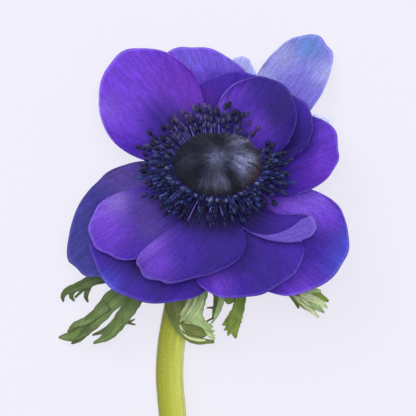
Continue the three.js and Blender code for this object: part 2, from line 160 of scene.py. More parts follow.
# Petals, innermost layers first. direction: degrees from +X towards +Y, seen from above. reach and
# width in millimetres. layer: 0 is the innermost. mid: where it is widest, as a share of its length.
# blunt: 2 gives an elliptic tip. waist: over 1 gives a narrow claw. bow: how far its tip bows to the
# left of its direction. bend: how far its middle line turns to the left, in degrees. bow, cup, lift
# and ripple in millimetres.
PETAL_FORM_NAMES = (
    "direction", "reach", "width", "layer", "mid", "blunt", "waist", "bow", "bend", "cup", "lift", "ripple",
)
PETAL_FORMS = {
    "petal_front_lower": (268, 30.1, 26.8, 0, 0.68, 1.74, 1.4, -13.2, 0, 2.2, -0.4, 0.3),
    "petal_front_upper": (54.5, 30, 22, 0, 0.48, 2.1, 0.85, 0, 0, 2.4, 0.8, 0.2),
    "petal_left": (212.5, 38.5, 18.5, 1, 0.7, 1.75, 1.2, -1.5, 0, 1.2, 0.3, 0.2),
    "petal_folded": (298, 33.6, 6.8, 1, 0.84, 1.9, 0.8, 0, 86, 0.6, 0.6, 0.1),
    "petal_right_shaded": (35, 31, 17.5, 1, 0.63, 1.9, 0.85, 0.6, 0, 0.9, 0.6, 0.2),
    "petal_upper_left": (134.5, 42.6, 29, 2, 0.55, 1.85, 0.95, -1.5, 0, 3.4, 1.5, 0.3),
    "petal_lower_right": (288, 35, 30, 2, 0.68, 1.9, 0.85, 1.5, 0, 1.2, 0, 0.3),
    "petal_right": (12, 34.5, 21, 2, 0.5, 2.2, 0.85, 1.5, 0, 0.9, 0.4, 0.2),
    "petal_lower_left": (233, 42, 36, 3, 0.57, 1.85, 0.85, -4, 0, 1.4, 0, 0.3),
    "petal_top_shaded": (80, 29, 24, 3, 0.57, 1.8, 0.85, -2.5, 0, 0.9, 0, 0.3),
    "petal_far_left": (202.5, 46.7, 27.8, 4, 0.5, 1.7, 0.5, 7, 0, 1.2, -2.5, 0.4),
    "petal_top": (99.5, 36.5, 30, 4, 0.55, 1.8, 0.85, 3.4, 0, 1, 0, 0.3),
    "petal_far_right": (316.5, 42.3, 31.5, 4, 0.6, 1.9, 0.85, 1.5, 0, 1.8, 0.5, 0.4),
    "petal_back_pale": (50, 48.5, 18, 5, 0.62, 2.1, 0.85, 1.5, 0, 2, 0, 0.2),
    "petal_back_top": (77, 34, 12, 6, 0.6, 1.7, 0.85, 0, 0, 0.4, -0.5, 0.2),
    "petal_back_right": (24, 35.3, 12, 6, 0.6, 1.7, 0.85, 0, 0, 0.5, -0.5, 0.2),
    "petal_back_left": (130, 36, 18, 6, 0.6, 1.9, 0.85, 0, 0, 1, 0, 0.2),
}
# Unevenness of a petal's rim, as shares of its size: its waves, and its irregular wandering.
RIM_WAVE = 0.005
RIM_WANDER = 0.014
RESTING_PETALS = ("petal_back_pale", "petal_back_left")

# Colours of each petal: at its claw, over its face, and then patches, each a colour round a place
# in the bloom: x, y and radius in millimetres, seen from above. Beside the petals' own colours they
# hold painted light and shade: the dark claw colours are painted shade under the stamens, the deep,
# navy and dusk patches are painted shade where one petal shades another or turns from the light,
# and the lilac patches are painted light on the sides that face the lamp at the upper left.
PETAL_COLOURS = {
    "petal_front_lower": ("shade_navy", "deep", (
        (-18, -20, 6, "lit_lilac"), (-15, -25, 4, "violet"), (-9, -21, 5, "purple"), (2, -27, 6, "deep"))),
    "petal_front_upper": ("purple", "deep", (
        (2, 19, 4, "lit_lilac"), (5, 22, 4, "violet"), (6, 16, 6, "purple"), (11, 13, 4, "violet"),
        (17, 17, 5, "shade_navy"))),
    "petal_left": ("shade_navy", "purple", (
        (-31, -11, 5, "lit_lilac"), (-27, -8, 4, "mallow"), (-29, -16, 6, "violet"), (-20, -10, 5, "dusk"),
        (-18, -16, 4, "dusk"))),
    "petal_folded": ("shade_navy", "deep", ((20, -12, 4, "purple"),)),
    "petal_right_shaded": ("shade_navy", "deep", ((23, 17, 4, "purple"), (19, 8, 6, "shade_navy"))),
    "petal_upper_left": ("shade_navy", "violet", (
        (-10, 26, 8, "magenta"), (-31, 17, 5, "lit_lilac"), (-16, 14, 6, "deep"), (-26, 10, 5, "violet"),
        (-6, 20, 4, "magenta"), (-23, 6, 5, "purple"))),
    "petal_lower_right": ("deep", "purple", (
        (0, -30, 4, "violet"), (10, -23, 7, "deep"), (20, -21, 4, "purple"), (14, -29, 5, "deep"))),
    "petal_right": ("deep", "purple", (
        (28, 1, 6, "magenta"), (31, 10, 5, "violet"), (24, 7, 5, "deep"), (30, 3, 4, "violet"))),
    "petal_lower_left": ("shade_navy", "deep", (
        (-33, -24, 5, "purple"), (-27, -29, 5, "purple"), (-22, -33, 4, "purple"), (-21, -25, 5, "shade_navy"),
        (-10, -34, 5, "purple"), (-30, -31, 4, "blue"))),
    "petal_top_shaded": ("shade_navy", "purple", ((-4, 20, 4, "magenta"), (-1, 16, 5, "shade_navy"))),
    "petal_far_left": ("dusk", "slate", (
        (-28, 0, 7, "mauve"), (-35, -8, 5, "slate"), (-31, -10, 4, "deep"), (-38, -20, 6, "slate"))),
    "petal_top": ("deep", "violet", (
        (-8, 31, 6, "iris"), (2, 30, 5, "iris"), (0, 26, 4, "purple"), (9, 25, 4, "purple"))),
    "petal_far_right": ("violet", "purple", (
        (22, -8, 6, "lit_lilac"), (28, -8, 5, "lit_lilac"), (36, -18, 4, "blue"), (34, -25, 5, "blue"),
        (22, -32, 6, "violet"), (30, -13, 4, "violet"))),
    "petal_back_pale": ("violet", "pale", (
        (18, 34, 5, "mist"), (26, 36, 4, "sky"), (31, 28, 4, "mist"), (21, 22, 5, "lavender"),
        (12, 27, 4, "mist"))),
    "petal_back_top": ("violet", "mist", ()),
    "petal_back_right": ("violet", "frost", ()),
    "petal_back_left": ("dusk", "violet", ()),
}

# Painted shadow of the stamens: the claws are painted nearly black inside a ring, and have their
# own colours outside it. It is narrower on one petal.
STAMEN_SHADOW_RING = (11 * MM, 22 * MM)
NARROW_STAMEN_SHADOW_RING = (6 * MM, 13 * MM)
NARROW_SHADOWED_PETAL = "petal_front_upper"
RING_STRETCH = 1.2
# Where along a petal its claw's colour gives way to its face's, and how strong a patch is.
CLAW_BLEND = (0.25, 0.65)
PATCH_STRENGTH = 0.85

# The folded petal's lower edge turns up and over. The turned part is FOLD_SHARE of its faces. As a
# share of the petal's width it is FOLD_RUN[0] wide at the claw, and FOLD_RUN[1] wider by the tip.
FOLD_SHARE = 0.3
FOLD_RUN = (0.1, 0.95)
FOLD_GROWTH = (0.4, 0.95)
FOLD_RADIUS = 0.5 * MM

# Stamens, outermost row first: how many, length, elevation in degrees, height of the root and how
# far inside the collar's edge it stands, with lengths in millimetres.
STAMEN_ROWS = (
    (52, 12.4, 5, 0.8, 2.2),
    (56, 11.2, 11, 0.9, 1.8),
    (56, 9.8, 18, 1.05, 1.4),
    (54, 8.4, 26, 1.2, 0.9),
    (50, 7.0, 33, 1.35, 0.5),
    (46, 5.8, 40, 1.45, 0.3),
    (40, 4.8, 46, 1.5, 0.2),
)
STAMEN_SEED = 17
# Few stamens stand round this direction, in degrees, and the ones there are short.
SPARSE_TURN = 38
SPARSE_SPREAD = 30
SPARSE_SHARE = 0.8
SPARSE_SHORTENING = 0.25
# A few move from the raised side to the low one.
RAISED_THINNING = 0.2
# Shorter on the low side and on the right.
LOW_SHORTENING = 0.12
RIGHT_SHORTENING = 0.08
# Degrees steeper on the raised side and flatter on the low one, give or take, and the steepest.
RAISED_STEEPENING = 18
LOW_FLATTENING = 6
STEEPNESS_JITTER = 5
STEEPEST_STAMEN = 53
LENGTH_JITTER = (0.82, 1.14)
FILAMENT_RADIUS = 0.18 * MM
ANTHER_LENGTH = 2.1 * MM
ANTHER_RADIUS = 0.7 * MM
# Height of the anther's middle in the pattern that is copied, clear of the filament below it.
ANTHER_PLACE = 3

# Lobes of the bracts: faces across one, steps between two of its points, its thickness, and the depth
# of its teeth and the depth and spread of its channel as shares of its half width.
LOBE_FACES = 12
LOBE_STEPS = 10
LOBE_THICKNESS = 0.3 * MM
LOBE_TEETH = 0.05
LOBE_CHANNEL = 0.12
CHANNEL_SPREAD = 0.18

# Bracts: each one is a bundle of lobes. A lobe has a finish, how far its edges turn up as a share of
# its width, and its middle line from the stem to its tip: x, y, height and half width at each
# point, in millimetres from the bloom's centre.
BRACTS = {
    "bract_left": (
        ("dark", 0.35, ((-9.5, -25.5, -21.6, 1.8), (-24, -27, -17, 2.2), (-33, -29.2, -17, 1.7),
                        (-38.6, -31.6, -18, 1.2), (-41.8, -32.9, -19.4, 0.9), (-42.9, -34.4, -20.2, 0.6),
                        (-42.8, -35.9, -21, 0.2))),
        ("dark", 0.3, ((-37.5, -31.2, -17.6, 1), (-40, -32.8, -18.8, 0.8), (-40.5, -34.4, -19.6, 0.6),
                       (-39.7, -35.7, -20.4, 0.2))),
        ("dark", 0.3, ((-31.5, -28.8, -16.8, 1.6), (-34.8, -30.2, -17.6, 1), (-35.9, -32.5, -18.6, 0.7),
                       (-36.4, -34.4, -19.4, 0.6), (-35.9, -36, -20, 0.2))),
        ("dark", 0.2, ((-35, -30.6, -17.4, 0.5), (-37.4, -32.7, -18.4, 0.4), (-39.5, -34.7, -19.6, 0.3))),
        ("green", 0.3, ((-9.5, -26, -22, 2.2), (-22, -30.5, -18.4, 2.5), (-28.4, -34.8, -18, 2.6),
                        (-33.6, -40.6, -19, 2.1), (-37.8, -44.2, -20.8, 1.8), (-41, -45.6, -22, 1.4),
                        (-44.2, -46, -23.4, 0.3))),
        ("green", 0.3, ((-30.4, -36.6, -18, 1.6), (-36.2, -41, -19.2, 1.1), (-39.6, -42.4, -20.2, 0.8),
                        (-41.6, -44.3, -21.4, 0.2))),
        ("dark", 0.25, ((-35.2, -42.6, -19.6, 1.3), (-38.4, -46.2, -21.4, 0.9),
                        (-40.6, -47.7, -22.4, 0.25))),
        ("green", 0.35, ((-10, -26.5, -22.2, 1.8), (-21.6, -34, -18, 2), (-24.4, -37.6, -17.8, 2.1),
                         (-27.4, -41.8, -18.2, 1.9), (-30.2, -45.2, -19.4, 1.3),
                         (-34.4, -47.5, -21.2, 0.25))),
        ("dark", 0.25, ((-26.8, -40.4, -18.8, 1.2), (-30.6, -43.6, -20, 0.9), (-34.7, -45.2, -21, 0.2))),
        ("dark", 0.2, ((-26.4, -41, -18, 0.6), (-24.6, -41.6, -18.2, 0.4), (-22.6, -42.2, -18.6, 0.15))),
        ("dark", 0.2, ((-24.4, -41.5, -18.2, 0.35), (-22.8, -40.6, -18.4, 0.15))),
    ),
    "bract_front": (
        # The olive lobes are painted shade: the inside of the curl, and the band that the petals shade.
        ("olive", 0.4, ((-9.5, -25.5, -21, 3.4), (-11.6, -34, -18.2, 3), (-11.4, -38.4, -17.8, 2.6),
                       (-10.8, -41.6, -17.6, 1.6), (-9, -44.6, -17.8, 1.2), (-5.8, -46.4, -18.2, 1.1),
                       (-0.7, -47, -18.8, 0.3))),
        ("pale", -0.2, ((-5.4, -25.5, -20, 2.6), (-5.2, -33.4, -16.9, 2.6), (-6.1, -36.8, -16.5, 2.6),
                        (-6.3, -39.4, -16.4, 2.4), (-5, -41.5, -16.4, 1.9), (-3, -43.4, -16.7, 1.4),
                        (-1.6, -45, -17.2, 0.8), (-0.8, -46.4, -17.8, 0.3))),
        ("pale", 0.2, ((-7, -32, -17.4, 1), (-7.6, -36.2, -16.2, 1), (-9, -39.4, -16, 0.8),
                       (-10.4, -41.6, -16.2, 0.15))),
        ("cream", 0.2, ((-7.4, -31, -17, 0.4), (-7.6, -35.4, -15.9, 0.5), (-9.4, -38.4, -15.8, 0.4),
                        (-10.3, -39.6, -16, 0.1))),
        ("cream", 0.2, ((-5.4, -31, -17, 0.35), (-6.1, -35.8, -15.8, 0.45), (-8.2, -39.2, -15.6, 0.35),
                        (-9.2, -40.8, -16, 0.1))),
        ("cream", 0.2, ((-3.8, -32, -17, 0.3), (-4.2, -36.4, -15.9, 0.35), (-6.2, -39.8, -15.8, 0.3),
                        (-7.4, -41.4, -16, 0.1))),
        ("olive", 0.5, ((-10.2, -41.8, -16.2, 0.3), (-8.7, -43, -15.9, 1.3), (-6.8, -43.7, -15.8, 1.7),
                        (-4.8, -44.3, -16, 1.5), (-3, -45.1, -16.6, 0.4))),
        # This thin cream lobe along the curl's lower edge is a painted highlight.
        ("cream", 0.3, ((-10.3, -42, -16, 0.2), (-9.1, -44.2, -15.7, 0.45), (-7.3, -45.6, -15.7, 0.5),
                        (-5, -46.3, -16, 0.4), (-3, -46.4, -16.6, 0.2))),
        ("pale", 0.2, ((-3.6, -41.2, -16.2, 0.6), (-2.2, -42.4, -16.4, 0.5), (-1, -42.7, -16.8, 0.15))),
        ("pale", 0.2, ((-2.6, -43, -16.4, 0.6), (-1.4, -43.8, -16.7, 0.4), (-0.5, -43.9, -17.2, 0.15))),
        ("cream", 0.2, ((-2.4, -44.6, -16.6, 0.4), (-1.2, -45.2, -17, 0.3), (-0.3, -45.2, -17.4, 0.1))),
        ("green", 0.4, ((-5.5, -25.5, -20.8, 1.4), (0, -33, -18.6, 1.2), (0, -36.4, -18.4, 0.9),
                        (-0.6, -38.4, -18.6, 0.6), (-1.1, -40.2, -19, 0.15))),
        ("pale", 0.2, ((-3, -26.5, -20, 1.2), (1.2, -34.2, -18, 0.9), (0.6, -37.6, -17.9, 0.8),
                       (-0.6, -40.4, -18.3, 0.4), (-1.9, -42.4, -18.8, 0.1))),
        ("rust", 0.2, ((-0.8, -37.4, -18.2, 0.35), (-2.8, -37.5, -18.4, 0.12))),
        ("rust", 0.2, ((-0.8, -40.2, -18.3, 0.25), (-2.6, -41.2, -18.6, 0.2), (-3.2, -42, -18.9, 0.1))),
        ("lime", 0.3, ((-5, -25.5, -20.6, 1.6), (6.2, -33, -18.6, 1.5), (6.1, -37.4, -18.4, 1.6),
                       (4.9, -40.8, -18.6, 2), (4.8, -43.4, -19.2, 1.4), (5.3, -46, -19.8, 0.25))),
        ("lime", 0.2, ((5.6, -33.4, -18.8, 1), (3.4, -35.2, -18.9, 1.3), (2, -35, -19.1, 0.2))),
        ("lime", 0.2, ((4.8, -39.6, -18.5, 1.4), (2.8, -41.6, -18.8, 0.9), (1.5, -42.3, -19.2, 0.15))),
        ("lime", 0.2, ((4.8, -40.6, -18.5, 1.2), (3, -43, -18.9, 0.6), (2, -43.8, -19.2, 0.15))),
        ("lime", 0.2, ((4.4, -42, -18.9, 1.1), (3.6, -44, -19.4, 0.7), (3.1, -45.3, -19.8, 0.15))),
    ),
    "bract_right": (
        ("lime", 0.35, ((-6, -24.5, -21.2, 1.8), (10, -26.6, -17, 2.2), (19, -30.6, -15.8, 2.3),
                        (24.4, -32.9, -15.8, 1.8), (28, -34, -16, 1.1), (31, -35.6, -16.8, 0.3))),
        ("pale", 0.3, ((20, -31, -15.7, 1.6), (25.4, -32.2, -15.2, 1.2), (28.8, -32.8, -15.8, 0.3))),
        ("cream", 0.3, ((21, -32, -15.6, 1.3), (26, -34.6, -15.3, 1.2), (29.2, -36.2, -15.8, 0.7),
                        (30.6, -37.4, -16.4, 0.2))),
        ("pale", 0.3, ((20.6, -32.2, -15.9, 1.4), (25.4, -35.8, -15.8, 1.1), (28.4, -37.6, -16.4, 0.7),
                       (29.8, -38.8, -17, 0.2))),
        ("cream", 0.3, ((21, -32.6, -15.7, 1), (25, -36.8, -15.9, 0.9), (28.2, -40, -17, 0.2))),
        ("lime", 0.3, ((21, -33, -16.2, 1.2), (24, -36.6, -16.6, 0.8), (26, -38.4, -17.2, 0.2))),
        ("dark", 0.3, ((19.4, -31.4, -16.2, 1.4), (21.4, -34.6, -16.8, 0.8), (22.8, -37.6, -17.4, 0.2))),
    ),
}

# The camera's place from the bloom's centre. It looks straight down. The lens and the sensor are in
# millimetres.
CAMERA_PLACE = (-2.43 * MM, -9.72 * MM, 620 * MM)
CAMERA_LENS = 198.7
CAMERA_SENSOR = 36
CAMERA_CLIP = 0.01
FLOOR_HALF_WIDTH = 2
# Each light's width and its place from the bloom's centre, in metres.
KEY_WIDTH = 0.9
KEY_PLACE = (-0.6, 0.65, 1.15)
TOP_WIDTH = 0.6
TOP_PLACE = (0.05, 0.1, 1.3)
SKY_COLOUR = (0.96, 0.96, 1, 1)


# Settings: the sizes and colours that a user would change.

def linear(red, green, blue):
    """A colour given from 0 to 255, as the renderer's linear one."""
    shares = (red / 255, green / 255, blue / 255)
    return tuple(c / 12.92 if c <= 0.04045 else ((c + 0.055) / 1.055) ** 2.4 for c in shares)


def tone(name, description, red, green, blue):
    """A colour property."""
    return FloatVectorProperty(name=name, description=description, subtype="COLOR", size=3,
                               min=0, max=1, default=linear(red, green, blue))


class AnemonePetalSettings(PropertyGroup):
    """Sizes and colours of the petals"""
    thickness: FloatProperty(name="Thickness", description="Thickness of a petal",
                             default=0.34 * MM, min=0.1 * MM, max=0.6 * MM, unit="LENGTH", precision=5)
    across: IntProperty(name="Faces Across", description="Faces across a petal",
                        default=72, min=12, max=120)
    along: IntProperty(name="Faces Along", description="Faces along a petal",
                       default=60, min=12, max=120)
    pleat: FloatProperty(name="Pleats", description="Height of the fine lengthwise pleats",
                         default=0.16 * MM, min=0, max=0.5 * MM, unit="LENGTH", precision=5)
    sway: FloatProperty(name="Sway", description="Height of the broad unevenness near the rim",
                        default=0.7 * MM, min=0, max=1 * MM, unit="LENGTH", precision=5)
    violet: tone("Violet", "Main colour of the bright petals", 112, 62, 206)
    purple: tone("Purple", "Main colour of the other petals", 68, 34, 166)
    deep: tone("Deep", "Shaded petal colour", 52, 29, 138)
    # Painted shade: used at the claws and where one petal shades another.
    shade_navy: tone("Navy", "Darkest petal colour", 40, 24, 108)
    # Painted shadow that the stamens cast on the claws.
    stamen_shadow: tone("Ink", "Near-black of the claws", 28, 22, 66)
    dusk: tone("Dusk", "Greyed colour at the claws", 78, 58, 146)
    slate: tone("Slate", "Blue-grey of the far left petal", 64, 62, 146)
    mauve: tone("Mauve", "Greyed red-violet of the far left petal", 92, 70, 150)
    blue: tone("Blue", "Blue of some rims", 70, 78, 198)
    iris: tone("Iris", "Light blue-violet of the top petal", 118, 98, 212)
    # Partly the petals' own colour, partly painted light on the sides lit from the upper left.
    lit_lilac: tone("Lilac", "Lightest violet", 136, 94, 222)
    mallow: tone("Mallow", "Pale violet of the left petal's rim", 146, 120, 216)
    magenta: tone("Magenta", "Reddest violet", 102, 44, 180)
    lavender: tone("Lavender", "Base of the pale petals", 118, 102, 202)
    pale: tone("Pale", "Face of the pale petals", 130, 126, 214)
    mist: tone("Mist", "Lightest part of the pale petals", 170, 174, 226)
    frost: tone("Frost", "Palest petal tip", 222, 230, 246)
    sky: tone("Sky", "Blue tip of the pale petal", 102, 146, 208)
    reverse: tone("Reverse", "Bloom on the back of a petal", 122, 94, 206)
    flap: tone("Flap", "Turned-over part of the folded petal", 90, 68, 184)


class AnemoneCentreSettings(PropertyGroup):
    """Hairs and colours of the boss and the stamens"""
    hairs: IntProperty(name="Boss Hairs", description="Hairs on the boss", default=7000, min=0, max=9000)
    hair_length: FloatProperty(name="Hair Length", description="Length of the boss's hairs",
                               default=1.15 * MM, min=0.1 * MM, max=3 * MM, unit="LENGTH", precision=5)
    # The boss turns from dark to grey, and its hairs' tips to silver, where its painted highlight falls.
    dark: tone("Boss Dark", "Grooves and shaded lobe of the boss", 15, 17, 34)
    grey: tone("Boss Grey", "Lobes of the boss", 122, 126, 172)
    silver_highlight: tone("Boss Silver", "Tips of the boss's hairs", 222, 228, 255)
    mallow: tone("Boss Mallow", "Hairs at the boss's upper right rim", 132, 116, 176)
    rust: tone("Boss Rust", "Spot at the boss's right rim", 150, 92, 58)
    anther: tone("Anther", "Anthers", 8, 11, 48)
    dusty: tone("Dusty Anther", "Anthers that have opened", 38, 56, 118)
    pollen: tone("Pollen", "Opened anthers on the raised side", 66, 60, 108)
    # Painted highlights on the innermost anthers beside the boss.
    anther_highlight: tone("Pale Anther", "Palest anthers beside the boss", 128, 150, 192)
    filament: tone("Filament", "Filaments", 24, 26, 100)
    filament_light: tone("Light Filament", "Filaments that catch the light", 128, 112, 212)
    # Painted shade: the collar is darker in the hollows of its grain.
    collar_hollow_shade: tone("Collar Dark", "Hollows of the collar", 12, 12, 42)
    collar_light: tone("Collar Light", "Raised grain of the collar", 50, 44, 116)


class AnemoneGreenSettings(PropertyGroup):
    """Hairs and colours of the stem and the bracts"""
    stem: tone("Stem", "Stem", 174, 180, 48)
    # Painted light and shade: the stem is painted lighter on its right side and darker on its left.
    stem_lit_side: tone("Stem Light", "Right side of the stem", 240, 244, 132)
    stem_shaded_side: tone("Stem Dull", "Left side of the stem", 126, 124, 34)
    # Partly the stem's own greener tone, partly painted shade under the bloom and bracts.
    stem_top_tone_and_shade: tone("Stem Dark", "Stem near the bloom", 136, 144, 52)
    # Painted shade: the receptacle is given a dark, muted colour as it lies in the stamens' shadow.
    receptacle: tone("Receptacle", "Top of the stem, between the petals", 58, 50, 84)
    pith: tone("Pith", "Cut end of the stem", 206, 214, 150)
    leaf: tone("Leaf", "Upper face of the bracts", 114, 136, 80)
    leaf_dark: tone("Leaf Dark", "Rims of the bracts", 88, 108, 62)
    leaf_light: tone("Leaf Light", "Underside of the bracts", 188, 212, 148)
    leaf_lime: tone("Leaf Lime", "Younger bracts", 142, 164, 72)
    leaf_cream: tone("Leaf Cream", "Palest bracts", 232, 238, 188)
    leaf_olive: tone("Leaf Olive", "Shaded inside of the curled bract", 134, 146, 78)
    leaf_tip: tone("Leaf Tip", "Tips of the bracts", 112, 84, 58)
    hairs: IntProperty(name="Stem Hairs", description="Hairs on the stem", default=2600, min=0, max=6000)


class AnemoneStageSettings(PropertyGroup):
    """Floor and lights"""
    floor: tone("Floor", "Pale floor", 238, 236, 247)
    floor_glow: FloatProperty(name="Floor Glow", description="Light from the floor itself",
                              default=0.84, min=0)
    floor_shade: FloatProperty(name="Floor Shade",
                               description="Share of the lamps' light that the floor returns",
                               default=0.15, min=0, max=1)
    key: FloatProperty(name="Key Light", description="Power of the light from the upper left",
                       default=9.8, min=0, unit="POWER")
    top: FloatProperty(name="Top Light", description="Power of the light from above",
                       default=9.8, min=0, unit="POWER")
    sky: FloatProperty(name="Sky Light", description="Strength of the light from all round",
                       default=0.39, min=0)


# Shared helpers.

def bloom_frame(point):
    """A point on the boss's own leaning axis, in the bloom's level frame."""
    return Vector((
        point.x,
        point.y * math.cos(LEAN) + point.z * math.sin(LEAN),
        -point.y * math.sin(LEAN) + point.z * math.cos(LEAN),
    ))


def mix(first, second, share):
    """A colour or a number that far from the first to the second."""
    if isinstance(first, (int, float)):
        return first + (second - first) * share
    return tuple(a + (b - a) * share for a, b in zip(first, second))


def smooth(value, start, end):
    """0 before start, 1 after end, eased between."""
    share = min(max((value - start) / (end - start), 0), 1)
    return share * share * (3 - 2 * share)


def near_turn(turn, middle, spread):
    """1 at a direction and 0 away from it, in radians."""
    return math.exp(-(math.remainder(turn - middle, 2 * math.pi) / spread) ** 2)


def finish_piece(name, bm, materials, node):
    """Turns a bmesh into a piece of the object that stands for a node."""
    mesh = bpy.data.meshes.new(name)
    bm.to_mesh(mesh)
    bm.free()
    for material in materials:
        mesh.materials.append(material)
    mesh.shade_smooth()
    piece = bpy.data.objects.new(name, mesh)
    bpy.context.collection.objects.link(piece)
    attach(piece, "root")
    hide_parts(node)
    return piece


def thicken(piece, thickness):
    """Gives a sheet its thickness, with its second material on its back."""
    wall = piece.modifiers.new("Thickness", "SOLIDIFY")
    wall.thickness = thickness
    wall.offset = 0
    wall.use_even_offset = False
    wall.material_offset = 1


def unit_grid(bm, uv, across, along, shift=0):
    """Adds a level grid 1 wide and 1 long with its UV map, and gives its corners."""
    start = len(bm.verts)
    before = set(bm.faces)
    bmesh.ops.create_grid(bm, x_segments=across, y_segments=along, size=0.5)
    bm.verts.ensure_lookup_table()
    for face in set(bm.faces) - before:
        for loop in face.loops:
            loop[uv].uv = (loop.vert.co.x + 0.5 + shift, loop.vert.co.y + 0.5)
    return bm.verts[start:]


def repeat(bm, count):
    """Copies what is in bm until it is there count times, one after another."""
    template = bpy.data.meshes.new("template")
    bm.to_mesh(template)
    bm.clear()
    for _ in range(count):
        bm.from_mesh(template)
    per_copy = len(template.vertices)
    bpy.data.meshes.remove(template)
    bm.verts.ensure_lookup_table()
    return per_copy


def hair_bmesh(count):
    """Hairs of length 1 along +Z and radius 1, three-sided and tapered, all in one place."""
    bm = bmesh.new()
    bm.verts.layers.float_color.new("tint")
    bmesh.ops.create_cone(bm, cap_ends=True, segments=3, radius1=1, radius2=0.2, depth=1)
    bmesh.ops.translate(bm, verts=bm.verts, vec=(0, 0, 0.5))
    upright = [e for e in bm.edges if abs(e.verts[0].co.z - e.verts[1].co.z) > 0.5]
    bmesh.ops.subdivide_edges(bm, edges=upright, cuts=1)
    return bm, repeat(bm, count)


def set_hair(verts, tint, root, lean_to, up, length, radius, colours):
    """Bends one hair from its root, up first and then the way it is combed."""
    sideways = up.cross(lean_to).normalized()
    for vert in verts:
        share = vert.co.z
        thin = radius * (1 - 0.6 * share)
        centre = root + up * (length * 0.6 * share * (1.2 - share)) + lean_to * (length * share * share)
        vert[tint] = (*mix(colours[0], colours[1], share), 1)
        vert.co = centre + sideways * (vert.co.x * thin) + up * (vert.co.y * thin)


# Node material helpers.

class Nodes:
    """Adds and links the nodes of one material."""

    def __init__(self, name):
        self.material = bpy.data.materials.new(name)
        self.material.use_nodes = True
        self.tree = self.material.node_tree
        self.tree.nodes.clear()
        self.column = 0

    def add(self, kind, sets=None, **inputs):
        """A node of that kind, with its own values set and its sockets set or linked."""
        node = self.tree.nodes.new(kind)
        node.location = (self.column, 0)
        self.column += 180
        for key, value in (sets or {}).items():
            setattr(node, key, value)
        for key, value in inputs.items():
            self.put(node.inputs[key.replace("_", " ")], value)
        return node

    def put(self, socket, value):
        """Links an output to a socket, or sets the socket's own value."""
        if isinstance(value, bpy.types.NodeSocket):
            self.tree.links.new(value, socket)
        elif socket.type == "RGBA":
            socket.default_value = (*value, 1)
        else:
            socket.default_value = value

    def place(self):
        """Coordinates in the piece's own space."""
        return self.add("ShaderNodeTexCoord").outputs["Object"]

    def uv(self):
        """Coordinates of the piece's own UV map."""
        return self.add("ShaderNodeUVMap", {"uv_map": "UVMap"}).outputs["UV"]

    def attribute(self, name):
        """The colour of the piece's own attribute."""
        return self.add("ShaderNodeAttribute", {"attribute_name": name}).outputs["Color"]

    def noise(self, vector, scale, detail, roughness=0.5):
        """Noise from 0 to 1."""
        return self.add("ShaderNodeTexNoise", None, Vector=vector, Scale=scale, Detail=detail,
                        Roughness=roughness).outputs["Fac"]

    def ranged(self, value, low, high, to_low, to_high):
        """A number moved from one range to another."""
        node = self.add("ShaderNodeMapRange", {"interpolation_type": "SMOOTHSTEP"}, Value=value)
        numbers = {"From Min": low, "From Max": high, "To Min": to_low, "To Max": to_high}
        for key, number in numbers.items():
            node.inputs[key].default_value = number
        return node.outputs["Result"]

    def maths(self, operation, first, second):
        """Two numbers put together."""
        node = self.add("ShaderNodeMath", {"operation": operation})
        self.put(node.inputs[0], first)
        self.put(node.inputs[1], second)
        return node.outputs[0]

    def mixed(self, factor, first, second):
        """Two colours mixed."""
        node = self.add("ShaderNodeMix", {"data_type": "RGBA"})
        self.put(node.inputs["Factor"], factor)
        self.put(node.inputs[6], first)
        self.put(node.inputs[7], second)
        return node.outputs[2]

    def shifted(self, colour, saturation, value):
        """A colour made stronger or lighter."""
        node = self.add("ShaderNodeHueSaturation")
        self.put(node.inputs["Color"], colour)
        self.put(node.inputs["Saturation"], saturation)
        self.put(node.inputs["Value"], value)
        return node.outputs["Color"]

    def stretched(self, vector, scale):
        """Coordinates scaled along each axis."""
        node = self.add("ShaderNodeMapping", None, Vector=vector)
        node.inputs["Scale"].default_value = scale
        return node.outputs["Vector"]

    def bump(self, height, strength, distance):
        """Normals tilted by a height."""
        node = self.add("ShaderNodeBump", None, Height=height, Strength=strength, Distance=distance)
        return node.outputs["Normal"]

    def surface(self, colour, normal, roughness, sheen=0.0, sheen_tint=(1, 1, 1), specular=0.4,
                through=0.0, through_colour=None):
        """The shader: a soft surface, with light passing through it if it is thin."""
        body = self.add("ShaderNodeBsdfPrincipled")
        self.put(body.inputs["Base Color"], colour)
        self.put(body.inputs["Normal"], normal)
        self.put(body.inputs["Roughness"], roughness)
        body.inputs["Sheen Weight"].default_value = sheen
        body.inputs["Sheen Roughness"].default_value = 0.4
        body.inputs["Sheen Tint"].default_value = (*sheen_tint, 1)
        body.inputs["Specular IOR Level"].default_value = specular
        shader = body.outputs[0]
        if through:
            passed = self.add("ShaderNodeBsdfTranslucent")
            self.put(passed.inputs["Color"], through_colour)
            self.put(passed.inputs["Normal"], normal)
            both = self.add("ShaderNodeMixShader")
            both.inputs[0].default_value = through
            self.put(both.inputs[1], shader)
            self.put(both.inputs[2], passed.outputs[0])
            shader = both.outputs[0]
        output = self.add("ShaderNodeOutputMaterial")
        self.put(output.inputs["Surface"], shader)
        return self.material


# Petals.

def layer_height(x, y, layer):
    """Height of a petal layer: level with the leaning face at the centre, flatter at the rim."""
    face = RIM_SLOPE * y + (math.tan(LEAN) - RIM_SLOPE) * SLOPE_EASE * math.tanh(y / SLOPE_EASE)
    away = math.hypot(x, y / math.cos(LEAN)) - SEAT_RADIUS
    spread = 1 + LAYER_SPREAD * min(max(away / SPREAD_LENGTH, 0), WIDEST_SPREAD)
    depth = TOP_LAYER_DEPTH + LAYER_STEP * layer
    return -face - depth / math.cos(LEAN) * spread


def seat_y(x, ring_y, layer):
    """Where a claw's line meets its ring round the leaning axis, found by repeated correction."""
    y = ring_y * math.cos(LEAN)
    for _ in range(SEAT_ROUNDS):
        y = (ring_y + layer_height(x, y, layer) * math.sin(LEAN)) / math.cos(LEAN)
    return y


